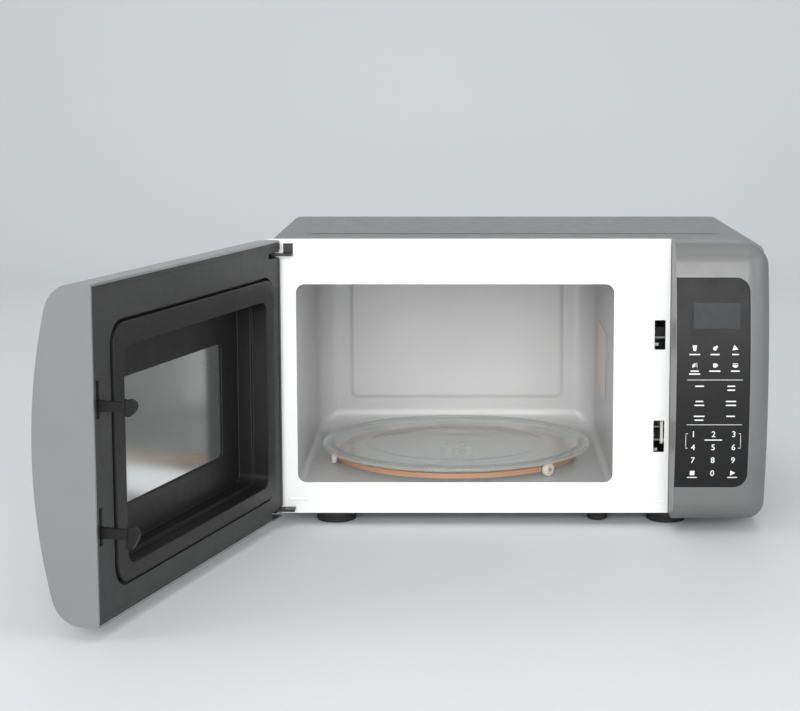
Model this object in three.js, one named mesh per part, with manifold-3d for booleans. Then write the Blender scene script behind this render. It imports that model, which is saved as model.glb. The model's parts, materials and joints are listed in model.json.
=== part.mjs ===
// A counter-top microwave oven with its door swung fully open.
// Millimetres. +X runs from the hinge side to the control panel, +Y to the back, +Z up.
// Inside the file, X = 0 is the middle of the cabinet, Y = 0 the front of the front plate and
// Z = 0 the table; the last lines move the origin to the middle of the whole outline's footprint.

import * as THREE from "three";
import { mergeVertices } from "three/addons/utils/BufferGeometryUtils.js";
import Module from "manifold-3d";

const wasm = await Module();
wasm.setup();

// ---- Driving dimensions ----

const GAP = 0.3; // clearance between pieces that rest on each other
const PIN_ROOM = 0.4; // room round a pin in its bore
const SHEET = 1; // steel sheet of the cabinet and the cavity
const FAR = 400; // longer than any cut needs to be

const CABINET = { left: -259.5, right: 259.5, front: 2, rear: 352, bottom: 13, top: 295.7, radius: 10 };
const REAR_FLANGE = { width: 14, thickness: 1.2 };
const TOP_PAD = { left: -225, right: 231, front: 115, rear: 338, height: 0.8, radius: 12 };

const SCREW = { hole: 2.4, shank: 1.9, head: 4.2, headHeight: 2.2 };
const REAR_SCREWS = [
  [-200, CABINET.top - 7],
  [200, CABINET.top - 7],
];
const REAR_PANEL_FACE = CABINET.rear - REAR_FLANGE.thickness - GAP;
const GLAND = { x: 215, z: 60, hole: 8, neck: 6.5, flange: 11, bore: 3.6 };
const VENT = { width: 4, pitch: 11, height: 24, sideHeight: 22 };

const FRONT_PLATE = { left: -259, right: 163.5, bottom: 12, top: 301, thickness: 1.5, radius: 10 };
const HINGE_NOTCH = { width: 17, height: 9.5, radius: 4 };
const OPENING = { left: -224.5, right: 105, bottom: 44.8, top: 253.7, radius: 9 };
const LATCH_SLOT = { left: 147.4, right: 158.6, radius: 1, upper: [185.4, 216.2], lower: [77.1, 110.4] };

const CAVITY = { left: -227.5, right: 108, floor: 37, ceiling: 258, front: 1.8, back: 332 };
const CAVITY_RADIUS = { side: 8, back: 26 };
const CAVITY_FLANGE = 9;
const LAMP_HOLES = { y: 87, bottom: 180, pitch: 9.4, count: 7, columns: 2, radius: 1.7 };

const SHAFT_HOLE = 7; // radius of the hole that the turntable's shaft comes through
const FEED = { front: 155, rear: 240, bottom: 115, top: 175 }; // opening that feeds the cavity
const MICA = { front: 144, rear: 251, bottom: 107, top: 182, thickness: 0.5, radius: 5 };

const BOW = { depth: 59.6, radius: 510, edgeRadius: 28, bottom: 11.5, top: 301 };
const BOW_MIDDLE = (BOW.bottom + BOW.top) / 2;
const BOW_HALF = (BOW.top - BOW.bottom) / 2;
const CORNER = { sweep: 25, top: 30, bottom: 24 }; // outer vertical edge and its two corners

const PANEL = { left: 163.8, right: 260.5, back: 1.2, wall: 2.6 };
const OVERLAY = { left: 164.1, right: 238, bottom: 51, top: 266, radius: 14, thickness: 1 };
const DISPLAY = { left: 180, right: 226, bottom: 215, top: 243 };

const HINGE = { x: -248, y: -10, pinRadius: 2.5, armThickness: 2.5, upper: 284.5, lower: 16.5 };
const DOOR_OPEN = THREE.MathUtils.degToRad(106.3);
const DOOR = { left: -252.5, right: 161, inner: -1.5, wall: 2.2, frameFace: -2, ringFace: -0.7 };
const DOOR_FRAME = {
  left: -249.8,
  right: 158.4,
  bottom: 14.2,
  top: 298.3,
  radius: [7, 1, 1, 7],
  thickness: 2.4,
};
const GROOVE = { left: -233, right: 127, bottom: 35, top: 266, radius: 22, width: 3 };
const RECESS = {
  left: -211,
  right: 105,
  bottom: 51.5,
  top: 242,
  radius: 18,
  ledge: 17,
  floor: 32,
  wall: 2,
};
const RECESS_STEP = 3;
const INNER_PANE = 2; // thickness of the pane behind the recess
const SCREEN_SHEET = 0.6;
const PAN = { left: -240, right: 141, bottom: 34, top: 279, radius: 6, front: -6 };
const WINDOW = { left: -169, right: 63, bottom: 89, top: 204, radius: 6 };
const FRONT_GLASS = { left: -200, right: 112, bottom: 64, top: 249, radius: 12, thickness: 3 };
const HOOK = { left: 148, right: 152.4, reach: 33, head: 11 };
const HOOK_ARMS = [
  { arm: [194, 204], head: [191, 207], slit: [188, 220] },
  { arm: [86.5, 96], head: [79, 101], slit: [80, 112] },
];

const TABLE = { x: -59.7, y: 165, radius: 151, stepRadius: 98, underside: 52.3, rimTop: 57 };
const WHEEL = { circle: 141.5, radius: 7.3, width: 5.6, bore: 2.2, axle: 1.8 };
const WHEEL_ANGLES = [-45, -165, 75];
const ROLLER_RING = { inner: 130, outer: 135.5, bottom: 41.5, top: 47.5 };

const FAN = { x: 190, z: 190, radius: 50, blades: 5, hub: 12, front: 298, rear: 314 };
const FOOT_HEIGHT = 12.7;
const FEET = {
  foot_front_left: { x: -186, y: 25, radius: 21, lift: 0 },
  foot_front_right: { x: 164, y: 25, radius: 21, lift: 0 },
  foot_rear_left: { x: -186, y: 325, radius: 21, lift: 0 },
  foot_rear_right: { x: 205, y: 325, radius: 21, lift: 0 },
  foot_front_support: { x: 91, y: 25, radius: 11, lift: 0.6 },
};

// ---- Finishes: colour, roughness, metalness ----

const FINISHES = {
  greyPaint: [0x8e8e8d, 0.42, 0.35],
  silverPlastic: [0xa3a4a5, 0.4, 0.2],
  whiteEnamel: [0xf2f2f0, 0.35, 0],
  cavityEnamel: [0xdcdcda, 0.45, 0],
  darkPlastic: [0x454545, 0.5, 0],
  blackPlastic: [0x1c1c1c, 0.5, 0],
  blackGloss: [0x2a2b2d, 0.2, 0],
  darkGlass: [0x202224, 0.08, 0],
  clearGlass: [0xcfe0d8, 0.05, 0],
  filmGlass: [0x8c9090, 0.12, 0.3],
  mica: [0xc7a494, 0.7, 0],
  tanPlastic: [0xc98a5c, 0.55, 0],
  whitePlastic: [0xe4e2dc, 0.5, 0],
  rubber: [0x191919, 0.85, 0],
  zincSteel: [0xb4b7ba, 0.35, 0.9],
  aluminium: [0xc9cbcd, 0.3, 0.95],
  copper: [0xa8642f, 0.4, 0.8],
  coreSteel: [0x4b4a48, 0.6, 0.6],
  circuitGreen: [0x2f6b46, 0.6, 0],
};

// ---- Solids ----

/** A closed manifold-3d solid from a three.js geometry. */
function solid(geometry) {
  geometry.deleteAttribute("normal");
  geometry.deleteAttribute("uv");
  const merged = mergeVertices(geometry, 1e-4);
  const made = new wasm.Manifold(
    new wasm.Mesh({
      numProp: 3,
      vertProperties: new Float32Array(merged.attributes.position.array),
      triVerts: new Uint32Array(merged.index.array),
    }),
  );
  return made;
}

/** A flat-shaded three.js geometry from a manifold-3d solid. */
function geometryOf(made) {
  const mesh = made.getMesh();
  const geometry = new THREE.BufferGeometry();
  geometry.setAttribute("position", new THREE.BufferAttribute(mesh.vertProperties, 3));
  geometry.setIndex(new THREE.BufferAttribute(mesh.triVerts, 1));
  const flat = geometry.toNonIndexed();
  flat.computeVertexNormals();
  return flat;
}

const join = (first, ...rest) => rest.reduce((all, next) => all.add(next), first);
const cut = (first, ...tools) => tools.reduce((left, tool) => left.subtract(tool), first);

/** A box between two values on each axis. */
function block([x0, x1], [y0, y1], [z0, z1]) {
  const box = new THREE.BoxGeometry(x1 - x0, y1 - y0, z1 - z0);
  return solid(box.translate((x0 + x1) / 2, (y0 + y1) / 2, (z0 + z1) / 2));
}

/** Points along an arc, ends included; angles in radians. */
function arc(u, v, radius, from, to, steps) {
  return Array.from({ length: steps + 1 }, (_, i) => {
    const angle = from + ((to - from) * i) / steps;
    return new THREE.Vector2(u + radius * Math.cos(angle), v + radius * Math.sin(angle));
  });
}

/** A rectangle with rounded corners: left bottom, right bottom, right top, left top. */
function roundedOutline(left, right, bottom, top, radii, steps = 4) {
  const corners = Array.isArray(radii) ? radii : [radii, radii, radii, radii];
  const places = [
    [left, bottom, 1, 1],
    [right, bottom, -1, 1],
    [right, top, -1, -1],
    [left, top, 1, -1],
  ];
  return places.flatMap(([u, v, inU, inV], i) => {
    const radius = corners[i];
    if (radius <= 0) return [new THREE.Vector2(u, v)];
    const start = Math.PI * (1 + i / 2);
    return arc(u + inU * radius, v + inV * radius, radius, start, start + Math.PI / 2, steps);
  });
}

/** The outline of a named rectangle, grown on every side. */
function outlineOf(rect, grow = 0, radius = rect.radius) {
  const radii = Array.isArray(radius) ? radius.map((r) => r + grow) : radius + grow;
  return roundedOutline(rect.left - grow, rect.right + grow, rect.bottom - grow, rect.top + grow, radii);
}

function axis(x, y, z) {
  return new THREE.Vector3(x, y, z);
}

// Outline axes (u, v) become (Y, Z), (X, Z) or (X, Y).
const TURN = {
  x: new THREE.Matrix4().makeBasis(axis(0, 1, 0), axis(0, 0, 1), axis(1, 0, 0)),
  y: new THREE.Matrix4().makeBasis(axis(1, 0, 0), axis(0, 0, 1), axis(0, -1, 0)),
  z: new THREE.Matrix4(),
};

/** An outline with holes, extruded along one axis between two values. */
function extrude(along, outline, [from, to], holes = []) {
  const shape = new THREE.Shape(outline);
  shape.holes = holes.map((points) => new THREE.Path(points));
  const made = new THREE.ExtrudeGeometry(shape, { depth: to - from, bevelEnabled: false, steps: 1 });
  made.applyMatrix4(TURN[along]);
  const start = { x: [from, 0, 0], y: [0, to, 0], z: [0, 0, from] }[along];
  return solid(made.translate(...start));
}

/** A cylinder along an axis, between two values on it, round the other two coordinates. */
function rod(along, [from, to], [u, v], radius, sides = 20) {
  const made = new THREE.CylinderGeometry(radius, radius, to - from, sides);
  const middle = (from + to) / 2;
  if (along === "z") made.rotateX(Math.PI / 2).translate(u, v, middle);
  if (along === "y") made.translate(u, middle, v);
  if (along === "x") made.rotateZ(Math.PI / 2).translate(middle, u, v);
  return solid(made);
}

/** A solid of revolution round a vertical axis from (radius, height) points. */
function turned(profile, x, y, sides = 32) {
  const points = profile.map(([radius, height]) => new THREE.Vector2(radius, height));
  const made = new THREE.LatheGeometry(points, sides);
  return solid(made.rotateX(Math.PI / 2).translate(x, y, 0));
}

// ---- Bowed fronts: the door and the control panel share one curve ----

const BOW_TILT = Math.asin((BOW_HALF - BOW.edgeRadius) / (BOW.radius - BOW.edgeRadius));
const BOW_CENTRE = BOW.depth - BOW.radius;
const EDGE_CENTRE = BOW_CENTRE + (BOW.radius - BOW.edgeRadius) * Math.cos(BOW_TILT);

/** Half of the bow's side profile, as [distance from mid height, depth], from the middle out. */
function bowProfile(inset) {
  const face = arc(BOW_CENTRE, 0, BOW.radius - inset, 0, BOW_TILT, 6);
  const edgeRow = BOW_HALF - BOW.edgeRadius;
  const edge = arc(EDGE_CENTRE, edgeRow, BOW.edgeRadius - inset, BOW_TILT, Math.PI / 2, 5);
  return [...face, ...edge.slice(1)].map((point) => [point.y, point.x]);
}

/** Columns across a bowed front, as [x, how far the face falls back there]. */
function bowColumns(left, right, side, inset) {
  const sweep = arc(0, 0, CORNER.sweep - inset, Math.PI / 2, 0, 5);
  const rounded = sweep.map((point) => [point.x, CORNER.sweep - inset - point.y]);
  if (side === "right") return [[left, 0], ...rounded.map(([x, fall]) => [right - CORNER.sweep + x, fall])];
  return [...rounded.map(([x, fall]) => [left + CORNER.sweep - x, fall]).reverse(), [right, 0]];
}

/** The solid between a back plane and a bowed face whose one vertical edge is swept round. */
function bowedBlock(left, right, side, back, inset = 0) {
  const half = bowProfile(inset);
  const below = half.slice(1).reverse().map(([height, depth]) => [-height, depth]);
  const rows = [...below, ...half];
  const columns = bowColumns(left, right, side, inset);
  const width = columns.length;
  const front = rows.flatMap(([height, depth]) =>
    columns.map(([x, fall]) => [x, fall - depth, BOW_MIDDLE + height]),
  );
  const rear = rows.flatMap(([height]) => columns.map(([x]) => [x, back, BOW_MIDDLE + height]));
  const triangles = [];
  const quad = (a, b, c, d) => triangles.push(a, b, c, a, c, d);
  const rearAt = front.length;
  for (let row = 0; row + 1 < rows.length; row++) {
    for (let column = 0; column + 1 < width; column++) {
      const a = row * width + column;
      quad(a, a + 1, a + 1 + width, a + width);
      quad(rearAt + a, rearAt + a + width, rearAt + a + 1 + width, rearAt + a + 1);
    }
    const first = row * width;
    const last = first + width - 1;
    quad(first, first + width, rearAt + first + width, rearAt + first);
    quad(last, rearAt + last, rearAt + last + width, last + width);
  }
  const topRow = (rows.length - 1) * width;
  for (let column = 0; column + 1 < width; column++) {
    const top = topRow + column;
    quad(column, rearAt + column, rearAt + column + 1, column + 1);
    quad(top, top + 1, rearAt + top + 1, rearAt + top);
  }
  const geometry = new THREE.BufferGeometry();
  geometry.setAttribute("position", new THREE.Float32BufferAttribute([...front, ...rear].flat(), 3));
  geometry.setIndex(triangles);
  return solid(geometry);
}

// ---- Cabinet shell ----

/** The folded sheet over the top and both sides, with a flange at the back and a raised pad on top. */
function outerCabinet() {
  const { left, right, bottom, top, radius, front, rear } = CABINET;
  const hoop = (inset) => [
    new THREE.Vector2(left + inset, bottom),
    ...arc(left + radius, top - radius, radius - inset, Math.PI, Math.PI / 2, 6),
    ...arc(right - radius, top - radius, radius - inset, Math.PI / 2, 0, 6),
    new THREE.Vector2(right - inset, bottom),
  ];
  const sheet = extrude("y", [...hoop(0), ...hoop(SHEET).reverse()], [front, rear]);
  const inner = roundedOutline(
    left + REAR_FLANGE.width,
    right - REAR_FLANGE.width,
    bottom - 1,
    top - REAR_FLANGE.width,
    [0, 0, 3, 3],
  );
  const flange = extrude("y", hoop(0), [rear - REAR_FLANGE.thickness, rear]).subtract(
    extrude("y", inner, [rear - FAR, rear + 1]),
  );
  const padOutline = roundedOutline(TOP_PAD.left, TOP_PAD.right, TOP_PAD.front, TOP_PAD.rear, TOP_PAD.radius);
  const pad = extrude("z", padOutline, [top - SHEET / 2, top + TOP_PAD.height]);
  const screwHoles = REAR_SCREWS.map(([x, z]) => rod("y", [rear - 3, rear + 1], [x, z], SCREW.hole, 12));
  return cut(join(sheet, flange, pad), ...screwHoles);
}

function rearScrew([x, z]) {
  const head = rod("y", [CABINET.rear + GAP, CABINET.rear + GAP + SCREW.headHeight], [x, z], SCREW.head, 16);
  const shank = rod("y", [CABINET.rear - 6, CABINET.rear + 1], [x, z], SCREW.shank, 10);
  return join(head, shank);
}

const steps = (from, pitch, count) => Array.from({ length: count }, (_, i) => from + i * pitch);

/** A row of upright vent slots through the rear panel, from its lower left corner. */
function rearVents(x, z, count, through) {
  return steps(x, VENT.pitch, count).map((at) => block([at, at + VENT.width], through, [z, z + VENT.height]));
}

/** A row of vent slots through the base, from its front left corner. */
function baseVents(x, y, count, length, through) {
  return steps(x, VENT.pitch, count).map((at) => block([at, at + VENT.width], [y, y + length], through));
}

function rearPanel() {
  const inset = SHEET + GAP;
  const outline = roundedOutline(
    CABINET.left + inset,
    CABINET.right - inset,
    CABINET.bottom + SHEET + 2 * GAP,
    CABINET.top - inset,
    [0, 0, CABINET.radius - inset, CABINET.radius - inset],
  );
  const sheet = extrude("y", outline, [REAR_PANEL_FACE - SHEET, REAR_PANEL_FACE]);
  const through = [REAR_PANEL_FACE - 2 * SHEET, REAR_PANEL_FACE + SHEET];
  const fanVents = [...rearVents(152, 165, 7, through), ...rearVents(152, 195, 7, through)];
  const cavityVents = rearVents(-190, 225, 6, through);
  const screwHoles = REAR_SCREWS.map(([x, z]) => rod("y", through, [x, z], SCREW.hole, 12));
  const cordHole = rod("y", through, [GLAND.x, GLAND.z], GLAND.hole, 20);
  return cut(sheet, ...fanVents, ...cavityVents, ...screwHoles, cordHole);
}

function cordGland() {
  const face = REAR_PANEL_FACE;
  const flange = rod("y", [face + GAP, face + GAP + 2.4], [GLAND.x, GLAND.z], GLAND.flange, 24);
  const neck = rod("y", [face - 9, face + 7], [GLAND.x, GLAND.z], GLAND.neck, 20);
  return join(flange, neck).subtract(rod("y", [face - 20, face + 20], [GLAND.x, GLAND.z], GLAND.bore, 16));
}

function basePlate() {
  const inset = SHEET + GAP;
  const back = REAR_PANEL_FACE - SHEET / 2;
  const outline = roundedOutline(CABINET.left + inset, CABINET.right - inset, CABINET.front + SHEET, back, 0);
  const sheet = extrude("z", outline, [CABINET.bottom, CABINET.bottom + SHEET]);
  const through = [CABINET.bottom - SHEET, CABINET.bottom + 2 * SHEET];
  const frontVents = [60, 90].flatMap((y) => baseVents(118, y, 3, VENT.sideHeight, through));
  return cut(sheet, ...frontVents, ...baseVents(120, 272, 6, VENT.height, through));
}

/** The plate round the opening, with a notch for the lower hinge and a slot for each hook. */
function frontPlate() {
  const { left, right, bottom, top, radius, thickness } = FRONT_PLATE;
  const slotOutlines = [LATCH_SLOT.upper, LATCH_SLOT.lower].map(([z0, z1]) =>
    roundedOutline(LATCH_SLOT.left, LATCH_SLOT.right, z0, z1, LATCH_SLOT.radius, 2),
  );
  const outline = roundedOutline(left, right, bottom, top, [0, 0, 0, radius]);
  const plate = extrude("y", outline, [0, thickness], [outlineOf(OPENING), ...slotOutlines]);
  const { width, height } = HINGE_NOTCH;
  const corners = [0, 0, HINGE_NOTCH.radius, 0];
  const notch = roundedOutline(left - width, left + width, bottom - height, bottom + height, corners);
  return plate.subtract(extrude("y", notch, [-thickness, 2 * thickness]));
}

// ---- Cavity ----

/** The cavity's inner form, or with grow its outer form, between the front and the curved back. */
function cavityForm(grow, front) {
  const { left, right, floor, ceiling, back } = CAVITY;
  const side = CAVITY_RADIUS.side + grow;
  const rear = CAVITY_RADIUS.back + grow;
  const [x0, x1, z0, z1] = [left - grow, right + grow, floor - grow, ceiling + grow];
  const tube = extrude("y", roundedOutline(x0, x1, z0, z1, side, 4), [front, back + grow]);
  const plan = roundedOutline(x0 - 1, x1 + 1, front - 1, back + grow, [0, 0, rear + 1, rear + 1], 6);
  const section = roundedOutline(front - 1, back + grow, z0 - 1, z1 + 1, [0, rear + 1, rear + 1, 0], 6);
  const seenFromAbove = extrude("z", plan, [z0 - 1, z1 + 1]);
  return tube.intersect(seenFromAbove).intersect(extrude("x", section, [x0 - 1, x1 + 1]));
}

function cavityBox() {
  const { left, right, floor, ceiling, front } = CAVITY;
  const flangeOutline = roundedOutline(
    left - CAVITY_FLANGE,
    right + CAVITY_FLANGE,
    floor - CAVITY_FLANGE,
    ceiling + CAVITY_FLANGE,
    4,
    2,
  );
  const flange = extrude("y", flangeOutline, [front, front + SHEET]);
  const shell = join(cavityForm(SHEET, front), flange).subtract(cavityForm(0, front - 1));
  const wall = [right - 1, right + SHEET + 1];
  const feed = block(wall, [FEED.front, FEED.rear], [FEED.bottom, FEED.top]);
  const perforations = steps(0, LAMP_HOLES.pitch, LAMP_HOLES.columns).flatMap((step) =>
    steps(LAMP_HOLES.bottom, LAMP_HOLES.pitch, LAMP_HOLES.count).map((z) =>
      rod("x", wall, [LAMP_HOLES.y + step, z], LAMP_HOLES.radius, 6),
    ),
  );
  const shaftHole = rod("z", [floor - 2 * SHEET, floor + SHEET], [TABLE.x, TABLE.y], SHAFT_HOLE, 20);
  return cut(shell, feed, shaftHole, ...perforations);
}

function waveguideCover() {
  const face = CAVITY.right - GAP;
  const outline = roundedOutline(MICA.front, MICA.rear, MICA.bottom, MICA.top, MICA.radius, 3);
  return extrude("x", outline, [face - MICA.thickness, face]);
}

// ---- Microwave source and power parts ----

const WAVEGUIDE = { left: CAVITY.right + SHEET + GAP, right: 137, margin: 6, antennaHole: 12 };
const MAGNETRON = {
  y: 197,
  z: 145,
  face: WAVEGUIDE.right + GAP,
  depth: 60,
  half: 42,
  yoke: 2,
  core: 17,
  fins: { count: 5, first: 10, last: 12, half: 34 },
  antenna: { radius: 8, reach: 18 },
  filter: { halfWidth: 26, halfHeight: 22, depth: 24 },
};

function waveguide() {
  const { left, right, margin, antennaHole } = WAVEGUIDE;
  const y = [FEED.front - margin, FEED.rear + margin];
  const z = [FEED.bottom - margin, FEED.top + margin];
  const inner = block([left - 1, right - SHEET], [y[0] + SHEET, y[1] - SHEET], [z[0] + SHEET, z[1] - SHEET]);
  const port = rod("x", [right - 3 * SHEET, right + SHEET], [MAGNETRON.y, MAGNETRON.z], antennaHole, 20);
  return cut(block([left, right], y, z), inner, port);
}

function magnetron() {
  const { y, z, face, depth, half, yoke, core, fins, antenna, filter } = MAGNETRON;
  const end = face + depth;
  const across = [y - half, y + half];
  const tall = [z - half + yoke, z + half - yoke];
  const nearPlate = block([face, face + yoke], across, tall);
  const farPlate = block([end - yoke, end], across, tall);
  const sides = [-1, 1].map((side) => {
    const middle = y + side * (half - yoke / 2);
    return block([face, end], [middle - yoke / 2, middle + yoke / 2], tall);
  });
  const anode = rod("x", [face, end], [y, z], core, 14);
  const finPitch = (depth - fins.first - fins.last) / (fins.count - 1);
  const finPlates = steps(face + fins.first, finPitch, fins.count).map((x) =>
    block([x, x + SHEET], [y - half + SHEET, y + half - SHEET], [z - fins.half, z + fins.half]),
  );
  const dome = rod("x", [face - antenna.reach, face + SHEET], [y, z], antenna.radius, 16);
  const filterY = [y - filter.halfWidth, y + filter.halfWidth];
  const filterZ = [z - filter.halfHeight, z + filter.halfHeight];
  const filterBox = block([end - SHEET, end + filter.depth], filterY, filterZ);
  return join(nearPlate, farPlate, ...sides, anode, ...finPlates, dome, filterBox);
}

const CORE = { x: [152, 236], y: [118, 170], z: [17, 90], foot: [15, 18], windowZ: [36, 74] };
const CORE_WINDOWS = [
  [168, 182],
  [206, 220],
];
const COILS = {
  left: 168.8,
  right: 219.2,
  holeLeft: 181.2,
  holeRight: 206.8,
  reach: 14,
  radius: 9,
  z: [37, 73],
};

function transformerCore() {
  const footPlate = block([CORE.x[0] - 8, CORE.x[1] + 8], [CORE.y[0] + 4, CORE.y[1] - 4], CORE.foot);
  const windows = CORE_WINDOWS.map((x) => block(x, [CORE.y[0] - 1, CORE.y[1] + 1], CORE.windowZ));
  return cut(join(block(CORE.x, CORE.y, CORE.z), footPlate), ...windows);
}

function transformerCoils() {
  const { left, right, holeLeft, holeRight, reach, radius, z } = COILS;
  const [front, rear] = CORE.y;
  const outline = roundedOutline(left, right, front - reach, rear + reach, radius, 4);
  const hole = roundedOutline(holeLeft, holeRight, front - 1.4, rear + 1.4, 0);
  return extrude("z", outline, z, [hole]);
}

const CAPACITOR = {
  left: 198,
  right: 250,
  bottom: 16,
  top: 50,
  radius: 16.5,
  y: [240, 325],
  tags: [214, 232],
};
const DIODE = {
  y: 262,
  z: 30,
  body: [160, 182],
  lead: [150, 192],
  bodyRadius: 4,
  leadRadius: 0.9,
  eyelet: 149,
};

function hvCapacitor() {
  const { left, right, bottom, top, radius, y, tags } = CAPACITOR;
  const can = extrude("y", roundedOutline(left, right, bottom, top, radius, 6), y);
  const terminals = tags.map((x) => block([x, x + 3], [y[0] - 12, y[0] + 1], [31, 37]));
  return join(can, ...terminals);
}

function hvDiode() {
  const { y, z, body, lead, bodyRadius, leadRadius, eyelet } = DIODE;
  const tube = rod("x", body, [y, z], bodyRadius, 14);
  const wire = rod("x", lead, [y, z], leadRadius, 8);
  const ring = rod("z", [z - 1, z + 1], [eyelet, y], bodyRadius, 12);
  return join(tube, wire, ring);
}

const BOARD = { x: [150, 232], y: [262, 342], z: [252, 253.6] };
const BOARD_PARTS = {
  choke: { x: 175, y: 290, outer: 13, inner: 6, height: 18 },
  fuse: { x: [196, 224], y: 320, z: 258, radius: 4.5 },
  relay: { x: [196, 222], y: [272, 300], height: 19 },
};

function filterBoard() {
  const { choke, fuse, relay } = BOARD_PARTS;
  const face = BOARD.z[0] + 1;
  const ring = rod("z", [face, face + choke.height], [choke.x, choke.y], choke.outer, 20);
  const bore = rod("z", [face + 1, face + choke.height + 4], [choke.x, choke.y], choke.inner, 14);
  const tube = rod("x", fuse.x, [fuse.y, fuse.z], fuse.radius, 12);
  const box = block(relay.x, relay.y, [face, face + relay.height]);
  return join(block(BOARD.x, BOARD.y, BOARD.z), ring.subtract(bore), tube, box);
}

const CUTOUT = { y: 290, z: 150, radius: 8, depth: 9, flange: 14, tabs: [-4, 4] };

function thermalCutout() {
  const { y, z, radius, depth, flange, tabs } = CUTOUT;
  const x = CAVITY.right + SHEET + GAP;
  const body = rod("x", [x, x + depth], [y, z], radius, 20);
  const strap = block([x, x + 1.2], [y - flange, y + flange], [z - 5, z + 5]);
  const blades = tabs.map((step) =>
    block([x + depth - 1, x + depth + 8], [y - 0.4, y + 0.6], [z + step - 2, z + step + 2]),
  );
  return join(body, strap, ...blades);
}

// ---- Fan ----

const SHROUD = {
  left: 130,
  right: 250,
  bottom: 128,
  top: 250,
  plate: [318, 320],
  collar: [296, 319],
  room: 3.5,
  wall: 1.5,
};
const FAN_MOTOR = {
  half: 26,
  halfHeight: 24,
  y: [326, 340],
  coilY: 333,
  coilDrop: 20,
  coilRadius: 12,
  shaft: 2,
};
const VANE = { thickness: 1.4, chord: 30, pitch: 62, root: 3 };

function fanShroud() {
  const { left, right, bottom, top, plate, collar, room, wall } = SHROUD;
  const place = [FAN.x, FAN.z];
  const sheet = extrude("y", roundedOutline(left, right, bottom, top, 6, 3), plate);
  const ring = rod("y", collar, place, FAN.radius + room + wall, 32);
  return join(sheet, ring).subtract(rod("y", [collar[0] - 1, plate[1] + 1], place, FAN.radius + room, 32));
}

function fanMotor() {
  const { half, halfHeight, y, coilY, coilDrop, coilRadius, shaft } = FAN_MOTOR;
  const stack = block([FAN.x - half, FAN.x + half], y, [FAN.z - halfHeight, FAN.z + halfHeight]);
  const coil = rod("x", [FAN.x - 17, FAN.x + 17], [coilY, FAN.z - coilDrop], coilRadius, 18);
  return join(stack, coil, rod("y", [FAN.front + 3, y[0] + 1], [FAN.x, FAN.z], shaft, 12));
}

function fanBlade() {
  const { x, z, hub, radius, blades, front, rear } = FAN;
  const boss = rod("y", [front, rear], [x, z], hub, 20);
  const vanes = steps(0, (2 * Math.PI) / blades, blades).map((angle) => {
    const vane = new THREE.BoxGeometry(radius - hub + VANE.root, VANE.thickness, VANE.chord);
    vane.rotateX(THREE.MathUtils.degToRad(VANE.pitch)).translate((radius + hub - VANE.root) / 2, 0, 0);
    return solid(vane.rotateY(angle).translate(x, (front + rear) / 2, z));
  });
  return join(boss, ...vanes).subtract(rod("y", [front - 1, rear + 1], [x, z], FAN_MOTOR.shaft + GAP, 12));
}

// ---- Turntable drive ----

const TABLE_MOTOR = { z: [17, 33], radius: 24.5, earReach: 32, earHalf: 5, shaftTop: 43, shaft: 3.5 };
const COUPLER = {
  skirtZ: [38, 40.5],
  hubZ: [40, 48.6],
  skirt: 15,
  hub: 7.5,
  reach: 17,
  lobe: 6,
  bore: 3.9,
  boreTop: 44,
};
const GLASS_KEYS = { circle: 14, radius: 4, bottom: 43, angles: [60, 180, 300] };

function turntableMotor() {
  const { z, radius, earReach, earHalf, shaftTop, shaft } = TABLE_MOTOR;
  const body = rod("z", z, [TABLE.x, TABLE.y], radius, 32);
  const across = [TABLE.x - earReach, TABLE.x + earReach];
  const ears = block(across, [TABLE.y - earHalf, TABLE.y + earHalf], [z[1] - 1.5, z[1]]);
  return join(body, ears, rod("z", [z[1] - 1, shaftTop], [TABLE.x, TABLE.y], shaft, 16));
}

/** Three flat lobes round the table's axis. */
function lobes([z0, z1], reach, width) {
  return [0, 120, 240].map((angle) => {
    const lobe = new THREE.BoxGeometry(reach, width, z1 - z0).translate(reach / 2, 0, (z0 + z1) / 2);
    lobe.rotateZ(THREE.MathUtils.degToRad(angle));
    return solid(lobe.translate(TABLE.x, TABLE.y, 0));
  });
}

function turntableCoupler() {
  const { skirtZ, hubZ, skirt, hub, reach, lobe, bore, boreTop } = COUPLER;
  const place = [TABLE.x, TABLE.y];
  const round = join(rod("z", skirtZ, place, skirt, 24), rod("z", hubZ, place, hub, 20));
  const shaftBore = rod("z", [skirtZ[0] - 1, boreTop], place, bore, 16);
  return join(round, ...lobes(hubZ, reach, lobe)).subtract(shaftBore);
}

function glassTurntable() {
  const { radius, stepRadius, underside, rimTop } = TABLE;
  const centreBottom = underside - 3.2;
  const centreTop = underside + 0.6;
  const trayTop = underside + 3.4;
  const plate = turned(
    [
      [0, centreBottom],
      [stepRadius - 2, centreBottom],
      [stepRadius + 3, underside],
      [radius - 3, underside],
      [radius - 0.8, underside + 1],
      [radius, underside + 2.6],
      [radius - 0.8, rimTop],
      [radius - 3, rimTop],
      [radius - 6.5, trayTop],
      [stepRadius + 2, trayTop],
      [stepRadius - 3, centreTop],
      [0, centreTop],
    ],
    TABLE.x,
    TABLE.y,
    40,
  );
  const keys = GLASS_KEYS.angles.map((angle) => {
    const turn = THREE.MathUtils.degToRad(angle);
    const { circle, bottom } = GLASS_KEYS;
    const spot = [TABLE.x + circle * Math.cos(turn), TABLE.y + circle * Math.sin(turn)];
    return rod("z", [bottom, centreBottom + 1], spot, GLASS_KEYS.radius, 12);
  });
  return join(plate, ...keys);
}

const wheelCentreZ = CAVITY.floor + GAP + WHEEL.radius;

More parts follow.
